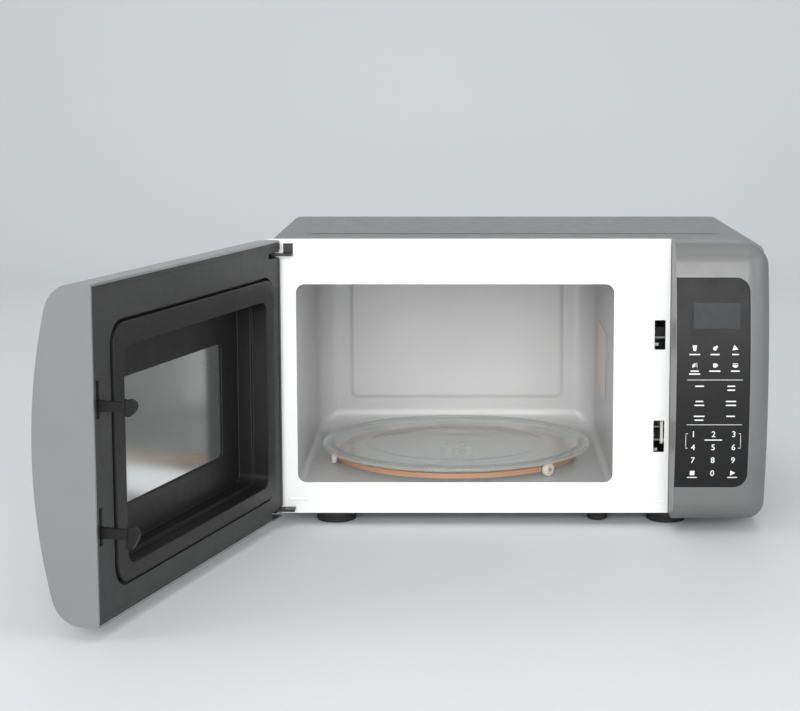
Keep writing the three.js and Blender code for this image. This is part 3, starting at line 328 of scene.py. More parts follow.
def turned(profile: Sequence[Span], centre: Span, sides: int = 96) -> Piece:
    """Spins a profile round an upright axis.

    Args:
        profile: Pairs of radius and height; it starts and ends on the axis, or on its own first point.
        centre: X and Y of the axis.
        sides: Steps of the spin.

    Returns:
        The new object.
    """
    points = [(centre[0] + radius, height) for radius, height in profile]
    piece = wire(points, Axis.Y, centre[1])
    with editing(piece):
        bpy.ops.mesh.spin(steps=sides, angle=2 * math.pi, center=(*centre, 0), axis=(0, 0, 1))
        select_whole()
        bpy.ops.mesh.remove_doubles(threshold=0.002)
        face_outwards()
    return piece


@dataclass(frozen=True)
class Rect:
    """An upright rectangle seen from the front, with its own radius at each corner."""

    left: float
    right: float
    bottom: float
    top: float
    radii: tuple[float, float, float, float] = (0.0, 0.0, 0.0, 0.0)

    @property
    def width(self) -> float:
        """How wide it is."""
        return self.right - self.left

    @property
    def height(self) -> float:
        """How tall it is."""
        return self.top - self.bottom

    @property
    def middle(self) -> Span:
        """The point halfway across and halfway up."""
        return ((self.left + self.right) / 2, (self.bottom + self.top) / 2)

    def grown(self, by: float) -> "Rect":
        """The same rectangle, grown on every side."""
        radii = tuple(max(radius + by, 0.0) for radius in self.radii)
        return Rect(self.left - by, self.right + by, self.bottom - by, self.top + by, radii)

    def slab(self, span: Span, axis: Axis = Axis.Y, steps: int = 10) -> Piece:
        """Makes a solid of this outline by rounding the corners of a box.

        Args:
            span: Its two levels on the axis.
            axis: The direction through it; the outline takes the other two in order.
            steps: Steps in each rounded corner.

        Returns:
            The new object.
        """
        low = lifted((self.left, self.bottom), axis, span[0])
        high = lifted((self.right, self.top), axis, span[1])
        piece = block(low, high)
        corners = (
            (self.left, self.bottom), (self.right, self.bottom), (self.right, self.top), (self.left, self.top)
        )
        middle = (span[0] + span[1]) / 2
        with editing(piece):
            for corner, radius in zip(corners, self.radii):
                if radius <= 0:
                    continue
                place = lifted(corner, axis, middle)
                pick(piece, Kind.EDGE, lambda at, way: (at - place).length < 1e-3)
                bpy.ops.mesh.bevel(offset=radius, segments=steps, affect="EDGES", clamp_overlap=False)
        return piece


def even(radius: float) -> tuple[float, float, float, float]:
    """The same radius at all four corners."""
    return (radius, radius, radius, radius)


def combine(piece: Piece, operation: str, tools: Sequence[Piece]) -> Piece:
    """Applies one boolean for each tool, and deletes the tools."""
    for tool in tools:
        only(piece)
        boolean = piece.modifiers.new("combine", "BOOLEAN")
        boolean.operation = operation
        boolean.solver = "EXACT"
        boolean.object = tool
        bpy.ops.object.modifier_apply(modifier=boolean.name)
        bpy.data.objects.remove(tool, do_unlink=True)
    return piece


def carve(piece: Piece, *tools: Piece) -> Piece:
    """Cuts the tools out of a piece."""
    return combine(piece, "DIFFERENCE", tools)


def weld(piece: Piece, *others: Piece) -> Piece:
    """Joins other solids to a piece as one body."""
    return combine(piece, "UNION", others)


def trim(piece: Piece, *tools: Piece) -> Piece:
    """Keeps only what lies inside the tools."""
    return combine(piece, "INTERSECT", tools)


def gather(piece: Piece, *others: Piece) -> Piece:
    """Joins separate bodies into one object without a boolean."""
    if others:
        only(piece, *others)
        bpy.ops.object.join()
    return piece


def orient(piece: Piece, direction: Vector) -> Piece:
    """Makes an open surface's normals agree, with those of its largest flat face along a direction.

    Args:
        piece: The surface.
        direction: Where the largest face that lies across this direction should point.

    Returns:
        The same piece.
    """
    with editing(piece):
        bpy.ops.mesh.normals_make_consistent(inside=False)
    across = [face for face in piece.data.polygons if abs(face.normal.dot(direction)) > 0.95]
    largest = max(across, key=lambda face: face.area)
    if largest.normal.dot(direction) < 0:
        with editing(piece):
            bpy.ops.mesh.flip_normals()
    return piece


def thicken(piece: Piece, thickness: float, offset: float) -> Piece:
    """Gives a surface a wall; offset 1 grows it along the normals, -1 against them."""
    only(piece)
    wall = piece.modifiers.new("wall", "SOLIDIFY")
    wall.thickness = thickness
    wall.offset = offset
    wall.use_even_offset = True
    bpy.ops.object.modifier_apply(modifier=wall.name)
    return piece


def soften(piece: Piece, width: float, steps: int = 2, angle: float = 32.0) -> Piece:
    """Rounds every edge sharper than an angle.

    Args:
        piece: The mesh to round.
        width: Width of the rounding, in the mesh's own units.
        steps: Steps across it.
        angle: Least angle in degrees between two faces that meet in a rounded edge.

    Returns:
        The same piece.
    """
    only(piece)
    rounding = piece.modifiers.new("rounding", "BEVEL")
    rounding.width = width
    rounding.segments = steps
    rounding.limit_method = "ANGLE"
    rounding.angle_limit = math.radians(angle)
    rounding.use_clamp_overlap = True
    bpy.ops.object.modifier_apply(modifier=rounding.name)
    return piece


def cleaned(piece: Piece, reach: float = 0.01, flat: float = 0.5) -> Piece:
    """Merges doubles and joins coplanar faces, in the mesh's own units."""
    with editing(piece):
        bpy.ops.mesh.remove_doubles(threshold=reach)
        bpy.ops.mesh.dissolve_limited(angle_limit=math.radians(flat))
    return piece


def spun_copies(piece: Piece, centre: Span, turns: Sequence[float]) -> list[Piece]:
    """Copies a piece round an upright axis, each copy with its own mesh.

    Args:
        piece: The piece to copy; it is deleted.
        centre: X and Y of the axis.
        turns: Turn of each copy in degrees.

    Returns:
        The copies, in order.
    """
    axis = Matrix.Translation((*centre, 0))
    copies = []
    for turn in turns:
        copy = piece.copy()
        copy.data = piece.data.copy()
        bpy.context.scene.collection.objects.link(copy)
        copy.data.transform(axis @ Matrix.Rotation(math.radians(turn), 4, "Z") @ axis.inverted())
        copies.append(copy)
    bpy.data.objects.remove(piece, do_unlink=True)
    return copies


# ---- Finishes ----


def srgb(code: str) -> tuple[float, float, float, float]:
    """Turns an sRGB hex colour to linear light.

    Args:
        code: Six hex digits after a #.

    Returns:
        Red, green, blue and an alpha of one.
    """
    channels = [int(code[i : i + 2], 16) / 255 for i in (1, 3, 5)]
    linear = [c / 12.92 if c <= 0.04045 else ((c + 0.055) / 1.055) ** 2.4 for c in channels]
    return (linear[0], linear[1], linear[2], 1.0)


def node(
    tree: Tree,
    kind: str,
    inputs: dict[str | int, object] | None = None,
    **settings: object,
) -> bpy.types.Node:
    """Adds a shader node with its settings, values and links.

    Args:
        tree: The material's nodes.
        kind: Blender's name of the node type.
        inputs: A value, or another node's output, for each named or numbered input.
        **settings: Properties of the node itself.

    Returns:
        The new node.
    """
    made = tree.nodes.new(kind)
    for name, value in settings.items():
        setattr(made, name, value)
    for key, value in (inputs or {}).items():
        if isinstance(value, Socket):
            tree.links.new(value, made.inputs[key])
        else:
            made.inputs[key].default_value = value
    return made


def per_mm(size: float) -> float:
    """The texture scale that makes a pattern's features about this many millimetres wide."""
    return 1 / (size * MM)


def object_place(tree: Tree) -> Socket:
    """The place on the piece that every pattern is drawn on."""
    return node(tree, "ShaderNodeTexCoord").outputs["Object"]


def remapped(tree: Tree, value: Socket, source: Span, target: Span) -> Socket:
    """Stretches a value from one range to another."""
    limits = {"From Min": source[0], "From Max": source[1], "To Min": target[0], "To Max": target[1]}
    return node(tree, "ShaderNodeMapRange", {"Value": value, **limits}).outputs[0]


@dataclass(frozen=True)
class Finish:
    """A surface whose colour, gloss and relief wander slightly, as a coated or moulded one does.

    The colour drifts between two close tones over a few centimetres, the roughness over a shorter
    distance, and a fine grain lifts the surface.
    """

    name: str
    colour: str
    second: str
    roughness: float
    metallic: float = 0.0
    drift_mm: float = 60.0
    gloss_drift: float = 0.04
    gloss_mm: float = 14.0
    grain_mm: float = 0.6
    relief_mm: float = 0.01
    speckle: float = 0.0
    shader: dict[str, float] = field(default_factory=dict)

    def build(self) -> bpy.types.Material:
        """Makes the material, once for each finish.

        Returns:
            The material of this finish.
        """
        known = bpy.data.materials.get(self.name)
        if known:
            return known
        material = bpy.data.materials.new(self.name)
        material.use_nodes = True
        material.diffuse_color = srgb(self.colour)
        tree = material.node_tree
        shader = tree.nodes["Principled BSDF"]
        shader.inputs["Metallic"].default_value = self.metallic
        for socket, value in self.shader.items():
            shader.inputs[socket].default_value = value
        self.surface(tree, shader)
        return material

    def surface(self, tree: Tree, shader: bpy.types.Node) -> None:
        """Links colour, roughness and relief; other finishes replace this.

        Args:
            tree: The material's nodes.
            shader: Its Principled shader.
        """
        place = object_place(tree)
        tone = self.noise(tree, place, self.drift_mm, 3.0)
        grain = self.noise(tree, place, self.grain_mm, 2.0)
        if self.speckle:
            flecks = remapped(tree, grain, (0.58, 0.7), (0.0, self.speckle))
            tone = node(tree, "ShaderNodeMath", {0: tone, 1: flecks}, operation="ADD").outputs[0]
        tree.links.new(self.mixed(tree, tone), shader.inputs["Base Color"])
        self.gloss(tree, shader, place)
        self.raise_by(tree, shader, grain, 1.0)

    @staticmethod
    def noise(tree: Tree, place: Socket, size: float, detail: float) -> Socket:
        """A soft random value from 0 to 1 with features of a size in millimetres."""
        inputs = {"Vector": place, "Scale": per_mm(size), "Detail": detail}
        return node(tree, "ShaderNodeTexNoise", inputs).outputs["Fac"]

    def raise_by(self, tree: Tree, shader: bpy.types.Node, height: Socket, strength: float) -> None:
        """Lifts the surface by a pattern, up to the finish's relief."""
        inputs = {"Height": height, "Strength": strength, "Distance": self.relief_mm * MM}
        bump = node(tree, "ShaderNodeBump", inputs)
        tree.links.new(bump.outputs["Normal"], shader.inputs["Normal"])

    def mixed(self, tree: Tree, factor: Socket) -> Socket:
        """The finish's colour turning to its second colour as a factor goes from 0 to 1."""
        tones = {0: factor, 6: srgb(self.colour), 7: srgb(self.second)}
        return node(tree, "ShaderNodeMix", tones, data_type="RGBA").outputs[2]

    def gloss(self, tree: Tree, shader: bpy.types.Node, place: Socket) -> None:
        """Lets the roughness wander a little, as handling and cooling leave it."""
        wander = self.noise(tree, place, self.gloss_mm, 4.0)
        limits = (max(self.roughness - self.gloss_drift, 0.01), self.roughness + self.gloss_drift)
        tree.links.new(remapped(tree, wander, (0.3, 0.7), limits), shader.inputs["Roughness"])


@dataclass(frozen=True)
class SpangledSteel(Finish):
    """Hot-dip zinc on steel sheet: crystals a few millimetres wide, each with its own tone."""

    spangle_mm: float = 6.0

    def surface(self, tree: Tree, shader: bpy.types.Node) -> None:
        """Tones and relief by crystal."""
        place = object_place(tree)
        crystals = node(tree, "ShaderNodeTexVoronoi", {"Vector": place, "Scale": per_mm(self.spangle_mm)})
        grey = node(tree, "ShaderNodeRGBToBW", {0: crystals.outputs["Color"]}).outputs[0]
        tree.links.new(self.mixed(tree, grey), shader.inputs["Base Color"])
        self.gloss(tree, shader, place)
        self.raise_by(tree, shader, grey, 0.6)


@dataclass(frozen=True)
class Lined(Finish):
    """A surface of fine parallel lines: stacked laminations, wound wire or brushing."""

    line_mm: float = 0.5
    across: Axis = Axis.Z
    wander: float = 0.6

    def surface(self, tree: Tree, shader: bpy.types.Node) -> None:
        """Bands across one axis, slightly broken up."""
        place = object_place(tree)
        scale = per_mm(self.line_mm) / 20 * math.pi
        inputs = {"Vector": place, "Scale": scale, "Distortion": self.wander, "Detail": 1.0}
        bands = node(
            tree, "ShaderNodeTexWave", inputs, wave_type="BANDS", bands_direction=self.across.name
        ).outputs["Fac"]
        tree.links.new(self.mixed(tree, bands), shader.inputs["Base Color"])
        self.gloss(tree, shader, place)
        self.raise_by(tree, shader, bands, 0.8)


@dataclass(frozen=True)
class Perforated(Finish):
    """Sheet punched with a close field of small round holes, drawn as dark dots of painted shade seen through
    them.
    """

    pitch_mm: float = 1.8

    def surface(self, tree: Tree, shader: bpy.types.Node) -> None:
        """Dark dots of painted shade where the holes are."""
        place = object_place(tree)
        spacing = {"Vector": place, "Scale": per_mm(self.pitch_mm), "Randomness": 0.0}
        cells = node(tree, "ShaderNodeTexVoronoi", spacing)
        hole_shade = remapped(tree, cells.outputs["Distance"], (0.36, 0.42), (1.0, 0.0))
        tree.links.new(self.mixed(tree, hole_shade), shader.inputs["Base Color"])
        self.gloss(tree, shader, place)


# Powder paint with fine metal flake on folded steel: a satin grey with a faint sparkle.
FLAKE_PAINT = Finish(
    "flake_powder_paint", "#636362", "#6d6d6c", 0.36, 0.45, grain_mm=0.5, relief_mm=0.006, speckle=0.35
)
# Metallic lacquer over moulded ABS: smoother than the powder paint and a little lighter.
SILVER_LACQUER = Finish(
    "silver_lacquered_abs", "#757575", "#7e7e7e", 0.46, 0.35, grain_mm=0.45, relief_mm=0.003, speckle=0.25,
    shader={"Coat Weight": 0.1, "Coat Roughness": 0.4},
)
# The same lacquer on the door cover's flat end, with a paler colour that is painted light: the end takes the
# light squarely.
PAINTED_LIT_DOOR_LACQUER = Finish(
    "door_lacquer_painted_light", "#7f8081", "#878889", 0.36, 0.35, grain_mm=0.45, relief_mm=0.003, speckle=0.2,
    shader={"Coat Weight": 0.2, "Coat Roughness": 0.28},
)
# White polyester powder coat on the front plate: even, with a slight orange peel.
WHITE_POWDER = Finish(
    "white_powder_coat", "#f4f4f3", "#eeeeed", 0.38, grain_mm=2.2, relief_mm=0.012,
    shader={"Coat Weight": 0.3, "Coat Roughness": 0.2},
)
# Pale epoxy enamel baked inside the cavity: softer gloss and a finely textured skin.
CAVITY_ENAMEL = Finish(
    "cavity_baked_enamel", "#d6d6d5", "#cdcdcd", 0.34, drift_mm=90.0, grain_mm=1.1, relief_mm=0.02,
    shader={"Coat Weight": 0.2, "Coat Roughness": 0.3},
)
# Spark-eroded satin on dark grey ABS: the door's inner frame.
SATIN_ABS = Finish(
    "satin_dark_abs", "#333333", "#3a3a3a", 0.48, grain_mm=0.35, relief_mm=0.015,
    shader={"Specular IOR Level": 0.3},
)
# Darker polypropylene over the choke, with a soft moulded sheen.
CHOKE_PP = Finish(
    "choke_polypropylene", "#191818", "#201f1f", 0.42, grain_mm=0.5, relief_mm=0.012,
    shader={"Specular IOR Level": 0.3},
)
# Black acetal of the hooks and slides: waxy and fine grained.
BLACK_ACETAL = Finish(
    "black_acetal", "#0c0c0d", "#121213", 0.42, grain_mm=0.4, relief_mm=0.008,
    shader={"Specular IOR Level": 0.3},
)
# Black nylon of switch bodies and the cord gland.
BLACK_NYLON = Finish("black_nylon", "#171717", "#222222", 0.5, grain_mm=0.6, relief_mm=0.02)
# Natural acetal of levers and brackets: milky white.
MILKY_ACETAL = Finish(
    "milky_acetal", "#e3e1da", "#d8d5cc", 0.42, grain_mm=0.5, relief_mm=0.008,
    shader={"Subsurface Weight": 0.1, "Subsurface Scale": 0.002},
)
# Heat-resistant tan polyester of the roller ring.
TAN_POLYESTER = Finish(
    "tan_polyester", "#c79f83", "#bb9074", 0.48, drift_mm=20.0, grain_mm=0.5, relief_mm=0.015
)
# Polyester film over the printed keypad: satin with faint fingerprints.
KEYPAD_FILM = Finish(
    "keypad_film", "#1b1b1c", "#202021", 0.42, gloss_drift=0.05, gloss_mm=24.0, grain_mm=0.3, relief_mm=0.002,
    shader={"Specular IOR Level": 0.22},
)
# Tinted clear window of the same film, over the display.
DISPLAY_FILM = Finish(
    "display_window_film", "#1d2126", "#1a1e23", 0.34, gloss_drift=0.03, relief_mm=0.001,
    shader={"Specular IOR Level": 0.25},
)
# Screen-printed white ink: opaque, matt and very slightly uneven.
WHITE_INK = Finish(
    "white_screen_ink", "#efefee", "#dededd", 0.55, drift_mm=1.5, grain_mm=0.2, relief_mm=0.004
)
# Tempered soda-lime glass, faintly green in its thickness.
TRAY_GLASS = Finish(
    "tempered_glass", "#f0f7f4", "#eaf3ef", 0.03, gloss_drift=0.01, grain_mm=8.0, relief_mm=0.006,
    shader={"Transmission Weight": 0.8, "IOR": 1.5, "Alpha": 0.5},
)
# Dark printed back on clear glass: the door's outer pane.
DARK_GLASS = Finish(
    "dark_backed_glass", "#0c0d0f", "#121316", 0.06, gloss_drift=0.02, gloss_mm=60.0, grain_mm=9.0,
    relief_mm=0.003, shader={"Coat Weight": 1.0, "Coat Roughness": 0.02},
)
# Reflective film on the inner pane: a soft mirror that the cavity shows in.
MIRROR_FILM = Finish(
    "reflective_inner_pane", "#cdd0d0", "#c4c8c8", 0.14, 0.9, gloss_drift=0.03, gloss_mm=80.0, grain_mm=20.0,
    relief_mm=0.004,
)
# Phlogopite mica board: layered flakes, matt, pinkish tan.
MICA_BOARD = Finish(
    "mica_board", "#f3dfd8", "#ead0c7", 0.6, drift_mm=7.0, grain_mm=2.5, relief_mm=0.03, speckle=0.5,
    shader={"Sheen Weight": 0.2},
)
# Natural rubber feet: nearly matt.
FOOT_RUBBER = Finish("foot_rubber", "#161616", "#202020", 0.8, grain_mm=0.8, relief_mm=0.03)
# Blackened, phosphated hinge steel.
PHOSPHATE_STEEL = Finish(
    "phosphated_steel", "#1f1f20", "#2a2a2b", 0.45, 0.4, drift_mm=12.0, grain_mm=0.4, relief_mm=0.01
)
# Zinc-plated sheet of the chassis, with its spangle.
ZINC_SHEET = SpangledSteel("galvanised_sheet", "#a9adb0", "#c0c3c5", 0.38, 0.9, relief_mm=0.01)
# Bright zinc on screws.
SCREW_ZINC = Finish(
    "bright_zinc_screw", "#b9bbbd", "#a8aaac", 0.28, 0.95, drift_mm=3.0, grain_mm=0.3, relief_mm=0.004
)
# Rolled aluminium of the magnetron fins and the capacitor can.
ROLLED_ALUMINIUM = Lined(
    "rolled_aluminium", "#c4c6c8", "#b4b6b8", 0.3, 0.95, line_mm=0.8, wander=2.0, relief_mm=0.003
)
# Stacked transformer laminations, 0.5 mm each.
LAMINATIONS = Lined(
    "core_laminations", "#474645", "#5a5856", 0.55, 0.7, line_mm=1.0, across=Axis.Y, relief_mm=0.05
)
# Enamelled copper wire wound in layers.
WOUND_COPPER = Lined("wound_copper", "#a5602c", "#c27a40", 0.35, 0.85, line_mm=1.2, wander=0.3, relief_mm=0.2)
# Green solder mask over copper tracks.
SOLDER_MASK = Finish(
    "solder_mask", "#2c6844", "#38794f", 0.4, drift_mm=4.0, grain_mm=1.5, relief_mm=0.03, speckle=0.6
)
# The punched screen behind the inner pane; its near-black second colour is painted shade in its holes.
SCREEN_SHEET = Perforated("punched_screen", "#6d6f70", "#0d0d0d", 0.45, 0.6)
# Matt paper of the backdrop.
STUDIO_PAPER = Finish("studio_paper", "#e3e4e5", "#dddedf", 0.6, drift_mm=900.0, grain_mm=4.0, relief_mm=0.01)
# Borosilicate bulb.
BULB_GLASS = Finish(
    "bulb_glass", "#f4f2ea", "#efece2", 0.04, grain_mm=6.0, relief_mm=0.003,
    shader={"Transmission Weight": 1.0, "IOR": 1.47},
)


def wear(piece: Piece, finish: Finish) -> None:
    """Gives a whole piece one finish.

    Args:
        piece: The mesh.
        finish: Its finish.
    """
    piece.data.materials.clear()
    piece.data.materials.append(finish.build())
    for face in piece.data.polygons:
        face.material_index = 0


def settle(piece: Piece, place: Place) -> None:
    """Turns a piece's millimetres into its place in the frame."""
    only(piece)
    piece.matrix_world = PLACES[place] @ piece.matrix_world
    bpy.ops.object.transform_apply(location=True, rotation=True, scale=True)


def deliver(
    piece: Piece,
    name: str,
    body: str,
    finish: Finish | None,
    stands_for: Sequence[str] = (),
    place: Place | None = Place.CABINET,
    smooth: float = 34.0,
) -> Piece:
    """Names, places, shades and finishes a piece and ties it to the frame.

    Args:
        piece: The modelled mesh.
        name: The piece's own name.
        body: The body it rides on.
        finish: Its finish, or None when its faces have theirs already.
        stands_for: The CAD nodes it replaces.
        place: The frame it was modelled in, or None when it is in the row's metres already.
        smooth: Greatest angle in degrees that is shaded smooth.

    Returns:
        The piece.
    """
    if place is not None:
        settle(piece, place)
    piece.name = name
    piece.data.name = name
    if finish is not None:
        wear(piece, finish)
    only(piece)
    bpy.ops.object.shade_smooth_by_angle(angle=math.radians(smooth))
    weighted = piece.modifiers.new("even_shading", "WEIGHTED_NORMAL")
    weighted.keep_sharp = True
    weighted.weight = 80
    bpy.ops.object.modifier_apply(modifier=weighted.name)
    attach(piece, body)
    if stands_for:
        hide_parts(*stands_for)
    LOG.info("%s: %d faces on body %s", name, len(piece.data.polygons), body)
    return piece


def eased_copy(cad_node: str, width: float, steps: int, angle: float = 35.0) -> Piece:
    """Copies a CAD node and rounds its edges; the copy is in the row's metres.

    Args:
        cad_node: The node to copy.
        width: Width of the rounding in millimetres.
        steps: Steps across it.
        angle: Least angle that is rounded.

    Returns:
        The copy, which rides on nothing yet.
    """
    source = frame["nodes"][cad_node]
    copy = bpy.data.objects.new(f"{cad_node}_eased", source.data.copy())
    bpy.context.scene.collection.objects.link(copy)
    cleaned(copy, 0.01 * MM, 1.0)
    return soften(copy, width * MM, steps, angle)


def deliver_eased(
    cad_node: str, name: str, body: str, finish: Finish, width: float = 0.4, steps: int = 2
) -> None:
    """Delivers a copy of a CAD node with its edges rounded.

    Args:
        cad_node: The node that is copied and replaced.
        name: The piece's own name.
        body: The body it rides on.
        finish: Its finish.
        width: Width of the rounding in millimetres.
        steps: Steps across it.
    """
    deliver(eased_copy(cad_node, width, steps), name, body, finish, [cad_node], place=None)


# ---- The bowed front that the door and the control panel share ----


class Side(Enum):
    """The outer vertical edge of a bowed front."""

    LEFT = -1
    RIGHT = 1


@dataclass(frozen=True)
class Bow:
    """One bowed front: a wide vertical arc whose top and bottom turn back round smaller arcs."""

    depth: float = 59.6
    radius: float = 510.0
    edge: float = 28.0
    bottom: float = 11.5
    top: float = 301.0
    sweep: float = 25.0
    reach_back: float = 90.0
    face_steps: int = 24
    edge_steps: int = 8
    sweep_steps: int = 10

    def profile(self, inset: float) -> list[Span]:
        """The closed side profile as (Y, Z), from the bottom round the front to the top.

        Args:
            inset: How far the profile lies inside the outer face.

        Returns:
            The points; the chain closes along the back.
        """
        middle = (self.bottom + self.top) / 2
        row = (self.top - self.bottom) / 2 - self.edge
        tilt = math.degrees(math.asin(row / (self.radius - self.edge)))
        centre = self.depth - self.radius
        edge_centre = centre + (self.radius - self.edge) * math.cos(math.radians(tilt))
        small = self.edge - inset
        lower = arc(-edge_centre, middle - row, small, 270, 180 + tilt, self.edge_steps)
        face = arc(-centre, middle, self.radius - inset, 180 + tilt, 180 - tilt, self.face_steps)
        upper = arc(-edge_centre, middle + row, small, 180 - tilt, 90, self.edge_steps)
        foot, head = lower[0][1], upper[-1][1]
        return [(self.reach_back, foot), *lower, *face[1:-1], *upper, (self.reach_back, head)]

    def columns(self, left: float, right: float, side: Side, inset: float) -> list[Span]:
        """Columns across the front as (X, how far the face falls back), from the flat end outwards."""
        small = self.sweep - inset
        flat, outer = (left, right) if side is Side.RIGHT else (right, left)
        start = outer - side.value * self.sweep
        rounded = arc(0, 0, small, 90, 0, self.sweep_steps)
        return [(flat, 0.0), *((start + side.value * u, small - v) for u, v in rounded)]

    def solid(self, left: float, right: float, side: Side, back: float, inset: float = 0.0) -> Piece:
        """Makes the solid between the bowed face and a flat back.

        Args:
            left: Its left end.
            right: Its right end.
            side: The end that is swept round.
            back: Where the flat back stands.
            inset: How far it lies inside the outer face.

        Returns:
            The new object.
        """
        columns = self.columns(left, right, side, inset)
        piece = wire(self.profile(inset), Axis.X, columns[0][0])
        with editing(piece):
            bpy.ops.mesh.edge_face_add()
            for (x, fall), (next_x, next_fall) in zip(columns, columns[1:]):
                pull(x=next_x - x, y=next_fall - fall)
            select_whole()
            bpy.ops.mesh.remove_doubles(threshold=0.001)
            face_outwards()
            bpy.ops.mesh.bisect(plane_co=(0, back, 0), plane_no=(0, 1, 0), clear_outer=True, use_fill=True)
            face_outwards()
        return piece


BOW = Bow()


# ---- Studio ----


@dataclass(frozen=True)
class Softbox:
    """One soft rectangular light: where it hangs, the point it faces, its size and its watts."""

    name: str
    place: Point
    aim: Point
    size: Span
    power: float

    def hang(self) -> None:
        """Adds the light to the scene."""
        bpy.ops.object.select_all(action="DESELECT")
        bpy.ops.object.light_add(type="AREA", location=self.place)
        lamp = bpy.context.object
        lamp.name = self.name
        lamp.rotation_euler = (Vector(self.aim) - Vector(self.place)).to_track_quat("-Z", "Y").to_euler()
        lamp.data.shape = "RECTANGLE"
        lamp.data.size, lamp.data.size_y = self.size
        lamp.data.energy = self.power


@dataclass
class Studio:
    """The camera, the lights and the pale sweep that the oven stands on."""

    eye: Point = (0.02675, -1.88376, 0.4773)
    pitch: float = 7.14
    lens: float = 83.6
    shift: Span = (-0.0828, -0.0704)
    floor_size: Span = (14.0, 10.0)
    floor_shift: float = -1.6
    wall_height: float = 5.0
    wall_bend: float = 1.2
    air: str = "#eef1f4"
    air_strength: float = 0.5
    lights: tuple[Softbox, ...] = (
        Softbox("front_softbox", (-0.2, -3.2, 0.95), (0, 0, 0.15), (2.6, 1.5), 88),
        Softbox("top_softbox", (0.2, -0.3, 2.4), (0, 0.1, 0), (2.2, 1.8), 11),
        Softbox("left_softbox", (-2.4, -0.9, 1.0), (-0.2, -0.1, 0.15), (1.4, 1.6), 16),
        Softbox("right_softbox", (2.6, -1.2, 1.2), (0.2, 0, 0.15), (1.4, 1.6), 12),
        Softbox("back_softbox", (0.0, 2.6, 2.2), (0, 0.2, 0.2), (2.4, 1.2), 12),
    )

    def camera(self) -> None:
        """Sets the camera in front of the oven, a little above it."""
        bpy.ops.object.select_all(action="DESELECT")
        bpy.ops.object.camera_add(location=self.eye, rotation=(math.radians(90 - self.pitch), 0, 0))
        camera = bpy.context.object
        camera.data.lens = self.lens
        camera.data.sensor_width = 36
        camera.data.shift_x, camera.data.shift_y = self.shift
        bpy.context.scene.camera = camera

    def sweep(self) -> None:
        """Lays the floor and turns it up into a backdrop far behind."""
        bpy.ops.object.select_all(action="DESELECT")
        bpy.ops.mesh.primitive_plane_add(size=1)
        floor = bpy.context.object
        floor.name = "studio_sweep"
        with editing(floor):
            stretch(*self.floor_size, 1, (0, 0, 0))
            slide(y=self.floor_shift)
            pick(floor, Kind.EDGE, lambda at, way: at.y > 3)
            bpy.ops.mesh.extrude_edges_move(TRANSFORM_OT_translate={"value": (0, 0, self.wall_height)})
            pick(floor, Kind.EDGE, lambda at, way: at.y > 3 and abs(at.z) < 1e-6)
            bpy.ops.mesh.bevel(offset=self.wall_bend, segments=16, affect="EDGES")
        only(floor)
        bpy.ops.object.shade_smooth()
        wear(floor, STUDIO_PAPER)

    def build(self) -> None:
        """Sets up the whole studio."""
        scene = bpy.context.scene
        scene.view_settings.view_transform = "Standard"
        world = bpy.data.worlds.new("studio_air")
        scene.world = world
        world.use_nodes = True
        air = world.node_tree.nodes["Background"]
        air.inputs["Color"].default_value = srgb(self.air)
        air.inputs["Strength"].default_value = self.air_strength
        self.camera()
        self.sweep()
        for softbox in self.lights:
            softbox.hang()


# ---- Cabinet ----


